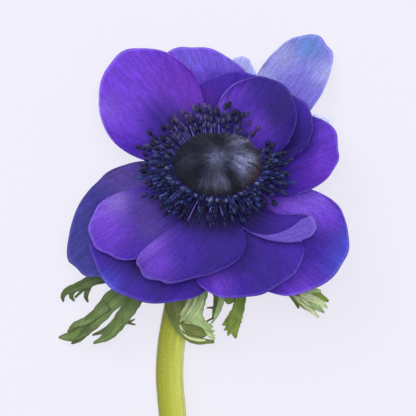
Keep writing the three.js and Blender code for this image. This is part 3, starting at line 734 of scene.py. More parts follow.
def petal_point(form, s, t, settings, phase):
    """A point of a petal's sheet, s outwards from 0 to 1 and t across from -1 to 1."""
    az = math.radians(form["direction"])
    length = form["reach"] * MM - SEAT_RADIUS
    widest = length * form["mid"]
    across = math.sin(math.pi * t / 2)
    onward = max(math.cos(math.pi * t / 2), 0)
    side = math.copysign(abs(across) ** (2 / form["blunt"]), across)
    uneven = RIM_WAVE * math.sin(5 * t + phase) + RIM_WAVE * math.sin(13 * t + 2 * phase)
    uneven += RIM_WANDER * noise.noise(Vector((4.5 * t, phase, 0)))
    edge = 1 + uneven * s ** 3
    u = s * edge * (widest + (length - widest) * onward ** (2 / form["blunt"]))
    spread = math.sin(math.pi * s ** form["waist"] / 2)
    half = CLAW_WIDTH / 2 + (form["width"] * MM / 2 - CLAW_WIDTH / 2) * spread
    v = half * side * edge + form["bow"] * MM * (u / length) ** 2
    ahead = u
    aside = v
    if form["bend"]:
        turning = length / math.radians(form["bend"])
        ahead = (turning - v) * math.sin(u / turning)
        aside = turning - (turning - v) * math.cos(u / turning)
    ahead -= CLAW_SINK * (1 - s) ** 8
    back = (1 - min(u / length, 1)) ** 3
    claw_x = SEAT_RADIUS * math.cos(az) - v * math.sin(az)
    claw_y = SEAT_RADIUS * math.sin(az) + v * math.cos(az)
    x = SEAT_RADIUS * math.cos(az) + ahead * math.cos(az) - aside * math.sin(az)
    y = SEAT_RADIUS * math.sin(az) + ahead * math.sin(az) + aside * math.cos(az)
    y += (seat_y(claw_x, claw_y, form["layer"]) - claw_y) * back
    rise = form["cup"] * side * side * s * s + form["lift"] * (u / length) ** 2
    rise += form["ripple"] * math.sin(RIPPLES * math.pi * t + form["direction"]) * s ** 4
    z = layer_height(x, y, form["layer"]) + rise * MM
    z += settings.pleat * noise.noise(Vector((11 * t, 1.1 * s, phase))) * smooth(s, 0.1, 0.5)
    z += settings.sway * noise.noise(Vector((1.9 * t, 2.2 * s, 5 + phase))) * s ** 3
    return Vector((x, y, z))


def folded_point(form, s, t, settings, phase):
    """A point of the folded petal: past the fold the sheet turns up and back over the petal."""
    fold = 2 * FOLD_SHARE - 1
    if t >= fold:
        return petal_point(form, s, (t - fold) / (1 - fold) * 2 - 1, settings, phase)
    width = form["width"] * MM
    run_share = FOLD_RUN[0] + FOLD_RUN[1] * smooth(s, *FOLD_GROWTH)
    run = (fold - t) / (2 * FOLD_SHARE) * width * run_share
    turn = min(run / FOLD_RADIUS, math.pi)
    beyond = max(run - math.pi * FOLD_RADIUS, 0)
    side = min(2 * beyond / width - 1, 1)
    edge = petal_point(form, s, -1, settings, phase)
    outward = edge - petal_point(form, s, 0, settings, phase)
    outward.z = 0
    outward.normalize()
    point = petal_point(form, s, math.asin(side) / (math.pi / 2), settings, phase)
    raised = Vector((0, 0, FOLD_RADIUS * (1 - math.cos(turn))))
    return point + outward * FOLD_RADIUS * math.sin(turn) + raised


def petal_tint(point, s, name, colours):
    """The colour of a petal at a point of the bloom, painted light and shade included."""
    claw, face, patches = PETAL_COLOURS[name]
    result = mix(tuple(getattr(colours, claw)), tuple(getattr(colours, face)), smooth(s, *CLAW_BLEND))
    for x, y, radius, colour in patches:
        away = math.hypot(point.x / MM - x, point.y / MM - y) / radius
        result = mix(result, tuple(getattr(colours, colour)), PATCH_STRENGTH * math.exp(-away * away))
    # Painted shadow of the stamens, darkest near the centre.
    ring = NARROW_STAMEN_SHADOW_RING if name == NARROW_SHADOWED_PETAL else STAMEN_SHADOW_RING
    away = math.hypot(point.x, point.y * RING_STRETCH)
    return mix(tuple(colours.stamen_shadow), result, smooth(away, *ring))


def petal_material(name, settings, back):
    """Silky petal: streaks that fan out from the claw, a fine grain, and a painted highlight on the rim."""
    nodes = Nodes(name)
    uv = nodes.uv()
    place = nodes.place()
    broad = nodes.noise(nodes.stretched(uv, (34, 3, 1)), 1, 5, 0.6)
    fine = nodes.noise(nodes.stretched(uv, (90, 12, 1)), 1, 3, 0.6)
    grain = nodes.noise(place, 1900, 2, 0.6)
    streaks = nodes.ranged(broad, 0.3, 0.7, 0.88, 1.12)
    lines = nodes.ranged(fine, 0.35, 0.65, 0.87, 1.13)
    specks = nodes.ranged(grain, 0.35, 0.65, 0.88, 1.12)
    value = nodes.maths("MULTIPLY", nodes.maths("MULTIPLY", streaks, lines), specks)
    colour = nodes.attribute("tint")
    if back:
        colour = nodes.mixed(0.55, colour, tuple(settings.reverse))
    colour = nodes.shifted(colour, 1.0, value)
    split = nodes.add("ShaderNodeSeparateXYZ", None, Vector=uv)
    # Painted highlight along the rim, for light coming through the thin edge.
    rim = nodes.ranged(split.outputs["Y"], 0.965, 0.998, 0, 0.6)
    colour = nodes.mixed(rim, colour, nodes.shifted(colour, 0.85, 1.5))
    height = nodes.maths("ADD", broad, nodes.maths("MULTIPLY", fine, 0.5))
    normal = nodes.bump(height, 0.35, 0.25 * MM)
    through = nodes.shifted(colour, 1.1, 1.25)
    return nodes.surface(colour, normal, 0.6, 0.08, (0.6, 0.5, 1), 0.18, 0.25, through)


def resting_lift(name, form, settings, phase):
    """Changes a resting petal's lift until its lowest point is on the surface."""
    floor = -BLOOM_CENTRE.z + SURFACE + settings.thickness / 2
    samples = [(s / 24, t / 12) for s in range(16, 25) for t in range(-12, 13)]
    for _ in range(LIFT_ROUNDS):
        lowest = min(petal_point(form, s, t, settings, phase).z for s, t in samples)
        form["lift"] += (floor - lowest) / MM
    return form


def build_petals(settings):
    """One thin sheet for each petal, with its colours worked out from its place in the bloom."""
    for rank, (name, sizes) in enumerate(PETAL_FORMS.items()):
        form = dict(zip(PETAL_FORM_NAMES, sizes))
        phase = 1.7 * rank
        if name in RESTING_PETALS:
            form = resting_lift(name, form, settings, phase)
        shape = folded_point if name == "petal_folded" else petal_point
        bm = bmesh.new()
        uv = bm.loops.layers.uv.new("UVMap")
        tint = bm.verts.layers.float_color.new("tint")
        for vert in unit_grid(bm, uv, settings.across, settings.along):
            s = vert.co.y + 0.5
            point = shape(form, s, -2 * vert.co.x, settings, phase)
            turned = name == "petal_folded" and -2 * vert.co.x < 2 * FOLD_SHARE - 1
            colour = tuple(settings.flap) if turned else petal_tint(point, s, name, settings)
            vert[tint] = (*colour, 1)
            vert.co = BLOOM_CENTRE + point
        face = petal_material(name + "_face", settings, False)
        back = petal_material(name + "_back", settings, True)
        piece = finish_piece(name + "_sheet", bm, (face, back), name)
        thicken(piece, settings.thickness)


# Boss.

def groove_depth(turn):
    """1 in a groove between two lobes of the boss, and 0 away from them."""
    return sum(near_turn(turn, math.radians(groove), GROOVE_SPREAD) for groove in BOSS_GROOVES)


def boss_point(ray):
    """Where a ray from the boss's middle meets its surface, on the boss's own axis."""
    out = math.hypot(ray.x, ray.y)
    steep = max(ray.z, 0)
    turn = math.atan2(ray.y, ray.x)
    groove = GROOVE_DEPTH * groove_depth(turn) * smooth(out, 0.1, 0.6) * math.sqrt(steep)
    dimple = DIMPLE_DEPTH * math.exp(-(out / DIMPLE_SPREAD) ** 2) * steep
    size = 1.02 - groove - dimple + BOSS_LUMPS * noise.noise(ray * 3) + BOSS_GRAIN * noise.noise(ray * 9)
    rise = BOSS_RISE * size if ray.z > 0 else BOSS_SKIRT
    return Vector((ray.x * BOSS_WIDTH / 2 * size, ray.y * BOSS_DEPTH / 2 * size,
                   BOSS_WIDEST_LINE + ray.z * rise))


def boss_light(ray):
    """How pale the boss is along a ray, from 0 to 1: painted highlights, with painted shade in grooves."""
    place = bloom_frame(boss_point(ray)) / MM
    pale = BASE_LIGHT
    for x, y, radius, share in BOSS_HIGHLIGHTS_AND_SHADE:
        away = math.hypot(place.x - x, place.y - y) / radius
        pale += share * math.exp(-away * away)
    turn = math.atan2(ray.y, ray.x)
    out = math.hypot(ray.x, ray.y)
    pale *= 1 - GROOVE_SHADE * groove_depth(turn) * smooth(out, 0.15, 0.5)
    return max(min(pale, 1), 0)


def combed_streak(turn, out):
    """Painted highlight along a streak of the combed down: the streaks run outwards from the dimple."""
    wide = noise.noise(Vector((math.cos(turn) * 5, math.sin(turn) * 5, out * 1.5)))
    narrow = noise.noise(Vector((math.cos(turn) * 14, math.sin(turn) * 14, out * 3 + 9)))
    return max(1 + 1.4 * wide + 2.2 * narrow, 0.1)


def boss_material(settings):
    """Matt, mottled boss."""
    nodes = Nodes("boss_skin")
    place = nodes.place()
    mottle = nodes.noise(place, 900, 5, 0.65)
    colour = nodes.shifted(nodes.attribute("tint"), 1.0, nodes.ranged(mottle, 0.3, 0.7, 0.7, 1.35))
    normal = nodes.bump(mottle, 0.6, 0.3 * MM)
    return nodes.surface(colour, normal, 0.8, 0.1, (0.7, 0.7, 0.9), 0.15)


def hair_material(name, sheen_tint):
    """Fine hairs, in the colours of their own attribute."""
    nodes = Nodes(name)
    place = nodes.place()
    vary = nodes.ranged(nodes.noise(place, 1500, 1), 0.3, 0.7, 0.75, 1.25)
    colour = nodes.shifted(nodes.attribute("tint"), 1.0, vary)
    normal = nodes.bump(vary, 0.1, 0.05 * MM)
    return nodes.surface(colour, normal, 0.6, 0.1, sheen_tint, 0.3)


def build_boss(settings):
    """The lobed dome with its down combed outwards from the dimple."""
    draw = random.Random(BOSS_SEED)
    bm, per_hair = hair_bmesh(settings.hairs)
    tint = bm.verts.layers.float_color["tint"]
    dark, grey = tuple(settings.dark), tuple(settings.grey)
    silver_highlight, rust = tuple(settings.silver_highlight), tuple(settings.rust)
    for index in range(settings.hairs):
        turn = draw.uniform(0, 2 * math.pi)
        height = draw.uniform(-0.05, 1)
        out = math.sqrt(1 - height * height)
        ray = Vector((out * math.cos(turn), out * math.sin(turn), height))
        further = Vector((ray.x * 1.08, ray.y * 1.08, ray.z - 0.06)).normalized()
        beside = Vector((ray.x - 0.05 * ray.y, ray.y + 0.05 * ray.x, ray.z)).normalized()
        root = boss_point(ray)
        comb = (boss_point(further) - root).normalized()
        up = comb.cross(boss_point(beside) - root).normalized()
        if up.dot(ray) < 0:
            up.negate()
        lifted = up * draw.uniform(0, BOSS_HAIR_LIFT)
        stray = BOSS_HAIR_STRAY * Vector([draw.uniform(-1, 1) for _ in range(3)])
        comb = (comb + lifted + stray).normalized()
        # Painted highlight, brighter along the combed streaks; it sets the root's and the tip's colour.
        pale = boss_light(ray) * draw.uniform(0.6, 1.2) * combed_streak(turn, out)
        tip = mix(dark, silver_highlight, min(pale, 1))
        fuzz = near_turn(turn, FUZZ_TURN, FUZZ_SPREAD) * smooth(out, 0.6, 0.95)
        tip = mix(tip, tuple(settings.mallow), 0.5 * fuzz)
        spot = near_turn(turn, RUST_TURN, RUST_SPREAD) * smooth(out, 0.8, 1)
        tip = mix(tip, rust, 0.7 * spot)
        root_colour = mix(dark, grey, 0.7 * min(pale, 1))
        length = settings.hair_length * draw.uniform(0.6, 1.2) * (1 + 0.9 * fuzz)
        hair = bm.verts[index * per_hair:(index + 1) * per_hair]
        set_hair(hair, tint, root, comb, up, length, BOSS_HAIR_RADIUS, (root_colour, tip))
    for face in bm.faces:
        face.material_index = 1
    hairs_end = len(bm.verts)
    bmesh.ops.create_icosphere(bm, subdivisions=5, radius=1)
    bm.verts.ensure_lookup_table()
    for vert in bm.verts[hairs_end:]:
        ray = vert.co.normalized()
        # The dome's own painted highlights and painted shade.
        colour = mix(dark, grey, boss_light(ray))
        vert[tint] = (*colour, 1)
        vert.co = boss_point(ray)
    for vert in bm.verts:
        vert.co = BLOOM_CENTRE + bloom_frame(vert.co)
    down = hair_material("boss_down", (0.8, 0.8, 1))
    finish_piece("boss_dome", bm, (boss_material(settings), down), "pistil_boss")


# Stamens.

def stamen_bmesh(count):
    """Stamens of length 1 along +Z, all in one place: a filament below a two-lobed anther."""
    bm = bmesh.new()
    bm.verts.layers.float_color.new("tint")
    bmesh.ops.create_cone(bm, cap_ends=True, segments=5, radius1=1, radius2=0.8, depth=1)
    bmesh.ops.translate(bm, verts=bm.verts, vec=(0, 0, 0.5))
    upright = [e for e in bm.edges if abs(e.verts[0].co.z - e.verts[1].co.z) > 0.5]
    bmesh.ops.subdivide_edges(bm, edges=upright, cuts=3)
    filament_end = len(bm.verts)
    bmesh.ops.create_uvsphere(bm, u_segments=8, v_segments=6, radius=1)
    bm.verts.ensure_lookup_table()
    bm.verts.index_update()
    for face in bm.faces:
        if face.verts[0].index >= filament_end:
            face.material_index = 1
    for vert in bm.verts[filament_end:]:
        waist = 1 - 0.16 * math.cos(2 * math.atan2(vert.co.y, vert.co.x))
        vert.co = Vector((vert.co.x * waist, vert.co.y * waist * 0.8, ANTHER_PLACE + vert.co.z))
    return bm, repeat(bm, count)


def collar_material(settings):
    """Dark ring that the stamens stand on."""
    nodes = Nodes("stamen_collar")
    place = nodes.place()
    mottle = nodes.noise(place, 1400, 4, 0.6)
    # Painted shade in the hollows of the grain, where the bump is low.
    colour = nodes.mixed(mottle, tuple(settings.collar_hollow_shade), tuple(settings.collar_light))
    return nodes.surface(colour, nodes.bump(mottle, 0.5, 0.2 * MM), 0.7, 0.2, (0.7, 0.7, 1), 0.3)


def anther_material():
    """Dusty pollen sacs."""
    nodes = Nodes("anther")
    place = nodes.place()
    dust = nodes.noise(place, 4200, 3, 0.7)
    colour = nodes.shifted(nodes.attribute("tint"), 1.0, nodes.ranged(dust, 0.3, 0.7, 0.7, 1.5))
    return nodes.surface(colour, nodes.bump(dust, 0.5, 0.08 * MM), 0.5, 0.06, (0.75, 0.8, 1), 0.25)


def build_stamens(settings):
    """Rows of stamens on the collar, steeper on the raised side of the face."""
    draw = random.Random(STAMEN_SEED)
    total = sum(row[0] for row in STAMEN_ROWS)
    bm, per_stamen = stamen_bmesh(total)
    tint = bm.verts.layers.float_color["tint"]
    index = 0
    for rank, (count, length, elevation, root_height, sunk) in enumerate(STAMEN_ROWS):
        for k in range(count):
            turn = (k + 0.5 * (rank % 2) + draw.uniform(-0.4, 0.4)) / count * 2 * math.pi
            sparse = near_turn(turn, math.radians(SPARSE_TURN), math.radians(SPARSE_SPREAD))
            if draw.random() < max(SPARSE_SHARE * sparse, RAISED_THINNING * math.sin(turn)):
                turn = draw.uniform(math.pi, 2 * math.pi)
                sparse = 0
            steepen = RAISED_STEEPENING * max(math.sin(turn), 0) + LOW_FLATTENING * min(math.sin(turn), 0)
            steepness = elevation + steepen + draw.uniform(-STEEPNESS_JITTER, STEEPNESS_JITTER)
            steepness = min(steepness, STEEPEST_STAMEN)
            shorter = 1 - LOW_SHORTENING * max(-math.sin(turn), 0) - SPARSE_SHORTENING * sparse
            shorter -= RIGHT_SHORTENING * max(math.cos(turn), 0)
            size = length * MM * shorter * draw.uniform(*LENGTH_JITTER) + 1 * MM
            place_stamen(bm.verts[index * per_stamen:(index + 1) * per_stamen], tint, turn, steepness, size,
                         root_height * MM, sunk * MM, rank, settings, draw)
            index += 1
    edge = len(bm.verts)
    before = set(bm.faces)
    bmesh.ops.create_cone(bm, cap_ends=True, segments=COLLAR_SIDES, radius1=COLLAR_UNDERSIDE, radius2=1,
                          depth=COLLAR_HEIGHT)
    bm.verts.ensure_lookup_table()
    for vert in bm.verts[edge:]:
        vert.co.x *= COLLAR_WIDTH / 2
        vert.co.y *= COLLAR_DEPTH / 2
        vert.co.z += COLLAR_HEIGHT / 2
    for face in set(bm.faces) - before:
        face.material_index = 2
    rim = [e for e in bm.edges if all(v.index >= edge for v in e.verts) and len(e.link_faces) == 2
           and e.calc_face_angle(0) > 0.8]
    bmesh.ops.bevel(bm, geom=rim, affect="EDGES", offset=COLLAR_ROUNDING, segments=3, profile=0.5,
                    material=-1)
    for vert in bm.verts:
        vert.co = BLOOM_CENTRE + bloom_frame(vert.co)
    filament = hair_material("filament", (0.8, 0.75, 1))
    materials = (filament, anther_material(), collar_material(settings))
    finish_piece("stamen_ring", bm, materials, "stamens")


def place_stamen(verts, tint, turn, steepness, length, root_height, sunk, rank, settings, draw):
    """Bends one stamen from its root, sets its anther on its end, and colours both."""
    raised = smooth(math.sin(turn), -0.2, 0.6)
    rise = math.radians(steepness)
    turn_end = turn + draw.uniform(-0.12, 0.12)
    root_x = math.cos(turn) * (COLLAR_WIDTH / 2 - sunk)
    root_y = math.sin(turn) * (COLLAR_DEPTH / 2 - sunk)
    root = Vector((root_x, root_y, root_height))
    out_x = math.cos(turn_end)
    out_y = math.sin(turn_end)
    ahead = Vector((out_x * math.cos(rise), out_y * math.cos(rise), math.sin(rise)))
    up = Vector((-out_x * math.sin(rise), -out_y * math.sin(rise), math.cos(rise)))
    sideways = ahead.cross(up)
    neck = length - ANTHER_LENGTH
    arch = draw.uniform(0.04, 0.1) * length
    sway = draw.uniform(-0.05, 0.05) * length
    tilt = draw.uniform(-0.5, 0.5)
    long_size = ANTHER_LENGTH / 2 * draw.uniform(0.8, 1.1)
    wide_size = ANTHER_RADIUS * draw.uniform(0.85, 1.15) * mix(0.85, 1, raised)
    opened = mix(tuple(settings.dusty), tuple(settings.pollen), raised)
    anther = mix(tuple(settings.anther), opened, draw.random() ** mix(3, 2, raised))
    # Painted highlights: some innermost anthers on the low side are paled.
    if rank == len(STAMEN_ROWS) - 1:
        anther = mix(anther, tuple(settings.anther_highlight), 0.6 * (1 - raised) * draw.random() ** 3)
    light = draw.random() ** mix(7, 2.5, raised)
    filament = mix(tuple(settings.filament), tuple(settings.filament_light), light)
    for vert in verts:
        local = vert.co.copy()
        if local.z < ANTHER_PLACE / 2:
            share = local.z
            bend = math.sin(math.pi * share)
            centre = root + ahead * (neck * share) + up * (arch * bend) + sideways * (sway * bend)
            radius = FILAMENT_RADIUS * (1.25 - 0.5 * share)
            vert.co = centre + up * (local.y * radius) + sideways * (local.x * radius)
            vert[tint] = (*filament, 1)
        else:
            axis = (ahead * math.cos(tilt) + up * math.sin(tilt)).normalized()
            over = axis.cross(sideways)
            centre = root + ahead * (neck + long_size * 0.8)
            vert.co = centre + axis * ((local.z - ANTHER_PLACE) * long_size)
            vert.co += sideways * (local.x * wide_size) + over * (local.y * wide_size)
            vert[tint] = (*anther, 1)


# Stem.

def stem_points():
    """The stem's line from the receptacle to the cut end, in millimetres from the bloom's centre."""
    def down(depth):
        return Vector((0, -depth * math.sin(LEAN), -depth * math.cos(LEAN)))
    bent = ((-2, -11, -14), (-4.9, -17.2, -18.7), (-8.8, -25, -22.6), (-10.7, -36, -25.3))
    lying = ((-12.8, -48), (-13.3, -57), (-12.4, -69), (-11.2, -97), (-11.6, -125))
    return [*(down(depth) for depth in (0.3, 3.5, 7, 10.5)), *(Vector(point) for point in bent),
            *(Vector((x, y, STEM_REST)) for x, y in lying)]


def curve_through(points, steps):
    """Points of a smooth centripetal curve through the given ones."""
    count = len(points)
    curve = []
    for k in range(count - 1):
        p1, p2 = points[k], points[k + 1]
        p0 = points[k - 1] if k else p1 * 2 - p2
        p3 = points[k + 2] if k + 2 < count else p2 * 2 - p1
        d0, d1, d2 = (max((b - a).length, 1e-9) ** 0.5 for a, b in ((p0, p1), (p1, p2), (p2, p3)))
        leave = ((p1 - p0) / d0 - (p2 - p0) / (d0 + d1) + (p2 - p1) / d1) * d1
        reach = ((p2 - p1) / d1 - (p3 - p1) / (d1 + d2) + (p3 - p2) / d2) * d1
        for step in range(steps):
            x = step / steps
            curve.append(p1 + leave * x + (p2 * 3 - p1 * 3 - leave * 2 - reach) * x * x
                         + (p1 * 2 - p2 * 2 + leave + reach) * x ** 3)
    curve.append(points[-1].copy())
    return curve


def stem_stations():
    """Places along the stem: centre, way forward, way across, and distance from its top."""
    line = [BLOOM_CENTRE + p * MM for p in curve_through(stem_points(), STEM_STEPS)]
    stations = []
    distance = 0
    for k, centre in enumerate(line):
        if k:
            distance += (centre - line[k - 1]).length
        forward = (line[min(k + 1, len(line) - 1)] - line[max(k - 1, 0)]).normalized()
        side = (Vector((1, 0, 0)) - forward * forward.x).normalized()
        stations.append((centre, forward, side, distance))
    return stations


def stem_radius(distance):
    """Radius of the stem that far from its top, wide at the receptacle and at the leaf node."""
    ease = smooth(distance, RECEPTACLE_END, STEM_START)
    swell = NODE_SWELL * math.exp(-(((distance - NODE_DISTANCE) / NODE_LENGTH) ** 2))
    return mix(RECEPTACLE_RADIUS, STEM_RADIUS, ease) + swell


def stem_surface(station, turn):
    """A point of the stem's surface, with faint ribs along it, and the way out from there."""
    centre, forward, side, distance = station
    over = side.cross(forward)
    outward = side * math.cos(turn) + over * math.sin(turn)
    rib = RIB_HEIGHT * math.cos(RIB_COUNT * turn + 0.6 * math.sin(distance * 60))
    rib += STEM_LUMPS * noise.noise(centre * 90)
    point = centre + outward * stem_radius(distance) * (1 + rib - STEM_LUMPS)
    point.z = max(point.z, SURFACE)
    return point, outward


def stem_material():
    """Yellow-green stem with lengthwise streaks."""
    nodes = Nodes("stem_skin")
    uv = nodes.uv()
    place = nodes.place()
    streaks = nodes.noise(nodes.stretched(uv, (26, 5, 1)), 1, 5, 0.6)
    grain = nodes.noise(place, 1800, 3, 0.6)
    value = nodes.maths("MULTIPLY", nodes.ranged(streaks, 0.3, 0.7, 0.86, 1.14),
                        nodes.ranged(grain, 0.3, 0.7, 0.94, 1.06))
    colour = nodes.shifted(nodes.attribute("tint"), 1.0, value)
    normal = nodes.bump(nodes.maths("ADD", streaks, nodes.maths("MULTIPLY", grain, 0.4)), 0.3, 0.15 * MM)
    through = nodes.shifted(colour, 1.0, 1.2)
    return nodes.surface(colour, normal, 0.5, 0.2, (0.95, 1, 0.8), 0.35, 0.12, through)


def build_stem(settings):
    """The stem with its receptacle, a finished cut end and fine hairs."""
    draw = random.Random(STEM_SEED)
    stations = stem_stations()
    bm, per_hair = hair_bmesh(settings.hairs)
    tint = bm.verts.layers.float_color["tint"]
    uv = bm.loops.layers.uv.new("UVMap")
    # The hairs are paled from the stem's painted lit-side colour.
    hair_colour = mix(tuple(settings.stem_lit_side), (1, 1, 1), 0.4)
    for index in range(settings.hairs):
        station = stations[int(draw.uniform(FIRST_HAIRY_STATION, len(stations) - 2))]
        turn = draw.uniform(-math.pi, math.pi)
        root, outward = stem_surface(station, turn)
        along = (station[1] * draw.uniform(-1, 0.2) + station[2] * draw.uniform(-0.4, 0.4)).normalized()
        shift = station[1] * draw.uniform(-1.5, 1.5) * MM
        length = draw.uniform(0.35, 0.9) * MM
        if root.z + outward.z * length < SURFACE + 0.1 * MM:
            outward = Vector((outward.x, outward.y, abs(outward.z)))
            root.z = max(root.z, SURFACE + 0.4 * MM)
        hair = bm.verts[index * per_hair:(index + 1) * per_hair]
        set_hair(hair, tint, root + shift, along, outward, length, STEM_HAIR_RADIUS,
                 (hair_colour, hair_colour))
    for face in bm.faces:
        face.material_index = 1
    green, shade, light = tuple(settings.stem), tuple(settings.stem_top_tone_and_shade), tuple(settings.stem_lit_side)
    shaded_side = tuple(settings.stem_shaded_side)
    tube = unit_grid(bm, uv, STEM_SIDES, len(stations) - 1)
    for vert in tube:
        station = stations[round((vert.co.y + 0.5) * (len(stations) - 1))]
        turn = 2 * math.pi * vert.co.x
        # Darker near the bloom: partly its own tone, partly painted shade.
        near = 1 - smooth(station[3], *STEM_TONE_AND_SHADE_SPAN)
        colour = mix(green, shade, 0.7 * near)
        vert.co, outward = stem_surface(station, turn)
        # Painted shade on the stem's left side and painted light on its right.
        colour = mix(colour, shaded_side, 0.7 * max(-outward.x, 0))
        colour = mix(colour, light, 0.75 * max(outward.x, 0))
        # Painted shade on the receptacle, under the stamens.
        below = smooth(station[3], RECEPTACLE_END, STEM_START)
        vert[tint] = (*mix(tuple(settings.receptacle), colour, below), 1)
    bmesh.ops.remove_doubles(bm, verts=tube, dist=0.001 * MM)
    open_edges = [e for e in bm.edges if e.is_boundary]
    ends = bmesh.ops.holes_fill(bm, edges=open_edges, sides=0)["faces"]
    skin = [f for f in bm.faces if f.material_index == 0]
    bmesh.ops.recalc_face_normals(bm, faces=skin)
    cut = min(ends, key=lambda f: f.calc_center_median().y)
    pith = tuple(settings.pith)
    bmesh.ops.inset_region(bm, faces=[cut], thickness=RIND_WIDTH, depth=-RIND_DEPTH)
    for vert in cut.verts:
        vert[tint] = (*pith, 1)
    bmesh.ops.inset_region(bm, faces=[cut], thickness=PITH_INSET, depth=-PITH_DEPTH)
    for vert in cut.verts:
        vert[tint] = (*mix(pith, green, 0.5), 1)
    bmesh.ops.triangulate(bm, faces=[f for f in bm.faces if len(f.verts) > 4])
    down = hair_material("stem_down", (1, 1, 0.9))
    finish_piece("stem_skin", bm, (stem_material(), down), "stem")


# Bracts.

def bract_material(name, settings, back):
    """Leaf skin: fine veins fanning from the root, darker rims, and a paler underside."""
    nodes = Nodes(name)
    uv = nodes.uv()
    place = nodes.place()
    veins = nodes.noise(nodes.stretched(uv, (14, 2, 1)), 1, 4, 0.6)
    blotch = nodes.noise(place, 260, 4, 0.6)
    value = nodes.maths("MULTIPLY", nodes.ranged(veins, 0.3, 0.7, 0.72, 1.28),
                        nodes.ranged(blotch, 0.3, 0.7, 0.85, 1.15))
    colour = nodes.attribute("tint")
    if back:
        colour = nodes.mixed(0.7, colour, tuple(settings.leaf_light))
    colour = nodes.shifted(colour, 1.0, value)
    normal = nodes.bump(nodes.maths("ADD", veins, blotch), 0.5, 0.2 * MM)
    through = nodes.shifted(colour, 1.1, 1.3)
    return nodes.surface(colour, normal, 0.5, 0.15, (0.9, 1, 0.8), 0.4, 0.25, through)


def lobe_tint(finish, share, side, settings):
    """Colour of a lobe, a share of the way along and across it."""
    leaf, shade, light = tuple(settings.leaf), tuple(settings.leaf_dark), tuple(settings.leaf_light)
    lime, cream, tip = tuple(settings.leaf_lime), tuple(settings.leaf_cream), tuple(settings.leaf_tip)
    olive = tuple(settings.leaf_olive)
    finishes = {
        "green": (leaf, shade),
        "dark": (mix(shade, leaf, 0.2), shade),
        "pale": (light, mix(light, leaf, 0.5)),
        "lime": (lime, mix(lime, shade, 0.4)),
        "cream": (cream, light),
        "rust": (tip, tip),
        "olive": (olive, mix(olive, shade, 0.5)),
    }
    middle, rim = finishes[finish]
    colour = mix(middle, rim, 0.7 * abs(side) ** 4)
    return mix(colour, tip, 0.4 * smooth(share, 0.95, 1.0))


def build_bracts(settings):
    """Each bract as a bundle of channelled lobes that start in the stem."""
    for rank, (name, lobes) in enumerate(BRACTS.items()):
        bm = bmesh.new()
        uv = bm.loops.layers.uv.new("UVMap")
        tint = bm.verts.layers.float_color.new("tint")
        for order, (finish, turned, points) in enumerate(lobes):
            line = curve_through([Vector(p[:3]) for p in points], LOBE_STEPS)
            halves = curve_through([Vector((p[3], 0, 0)) for p in points], LOBE_STEPS)
            last = len(line) - 1
            for vert in unit_grid(bm, uv, LOBE_FACES, last, order):
                station = round((vert.co.y + 0.5) * last)
                side = -2 * vert.co.x
                ahead = line[min(station + 1, last)] - line[max(station - 1, 0)]
                across = Vector((-ahead.y, ahead.x, 0)).normalized()
                half = halves[station].x
                tooth = LOBE_TEETH * math.sin(station * 1.1 + 2.4 * order) * smooth(station, 4, 12)
                point = line[station] + across * (side * half * (1 + tooth * abs(side) ** 3))
                channel = LOBE_CHANNEL * half * math.exp(-(side / CHANNEL_SPREAD) ** 2)
                point.z += turned * half * (side * side - 0.3) - channel
                point.z += 0.35 * noise.noise(Vector((point.x, point.y, 7 * order + rank)) * 0.35)
                vert[tint] = (*lobe_tint(finish, station / last, side, settings), 1)
                vert.co = BLOOM_CENTRE + point * MM
        face = bract_material(name + "_face", settings, False)
        back = bract_material(name + "_back", settings, True)
        piece = finish_piece(name + "_leaf", bm, (face, back), name)
        thicken(piece, LOBE_THICKNESS)


# Stage.

def build_stage(settings):
    """Pale floor, soft lights and the camera, which looks straight down."""
    bm = bmesh.new()
    bmesh.ops.create_grid(bm, x_segments=1, y_segments=1, size=FLOOR_HALF_WIDTH)
    bmesh.ops.translate(bm, verts=bm.verts, vec=(0, 0, SURFACE))
    mesh = bpy.data.meshes.new("floor")
    bm.to_mesh(mesh)
    bm.free()
    nodes = Nodes("lit_floor")
    place = nodes.place()
    paper = nodes.noise(place, 400, 3)
    floor = tuple(settings.floor)
    shade = mix((0, 0, 0), floor, settings.floor_shade)
    colour = nodes.mixed(paper, shade, mix(shade, floor, 0.02))
    mesh.materials.append(nodes.surface(colour, nodes.bump(paper, 0.02, 0.1 * MM), 0.9, specular=0))
    body = nodes.tree.nodes["Principled BSDF"]
    nodes.put(body.inputs["Emission Color"], floor)
    body.inputs["Emission Strength"].default_value = settings.floor_glow
    stage = bpy.data.objects.new("floor", mesh)
    bpy.context.collection.objects.link(stage)

    world = bpy.data.worlds.new("soft_sky")
    world.use_nodes = True
    background = world.node_tree.nodes["Background"]
    background.inputs["Color"].default_value = SKY_COLOUR
    background.inputs["Strength"].default_value = settings.sky
    bpy.context.scene.world = world
    bpy.context.scene.view_settings.view_transform = "Standard"
    for name, power, size, place in (
        ("key_light", settings.key, KEY_WIDTH, KEY_PLACE),
        ("top_light", settings.top, TOP_WIDTH, TOP_PLACE),
    ):
        light = bpy.data.lights.new(name, "AREA")
        light.energy = power
        light.shape = "DISK"
        light.size = size
        lamp = bpy.data.objects.new(name, light)
        lamp.location = BLOOM_CENTRE + Vector(place)
        lamp.rotation_euler = (BLOOM_CENTRE - lamp.location).to_track_quat("-Z", "Y").to_euler()
        bpy.context.collection.objects.link(lamp)

    lens = bpy.data.cameras.new("camera")
    lens.lens = CAMERA_LENS
    lens.sensor_width = CAMERA_SENSOR
    lens.clip_start = CAMERA_CLIP
    camera = bpy.data.objects.new("camera", lens)
    camera.location = BLOOM_CENTRE + Vector(CAMERA_PLACE)
    bpy.context.collection.objects.link(camera)
    bpy.context.scene.camera = camera


# Operators.

class ANEMONE_OT_stage(Operator):
    """Adds the floor, the lights and the camera"""
    bl_idname = "anemone.stage"
    bl_label = "Stage"

    def execute(self, context):
        build_stage(context.scene.anemone_stage)
        return {"FINISHED"}


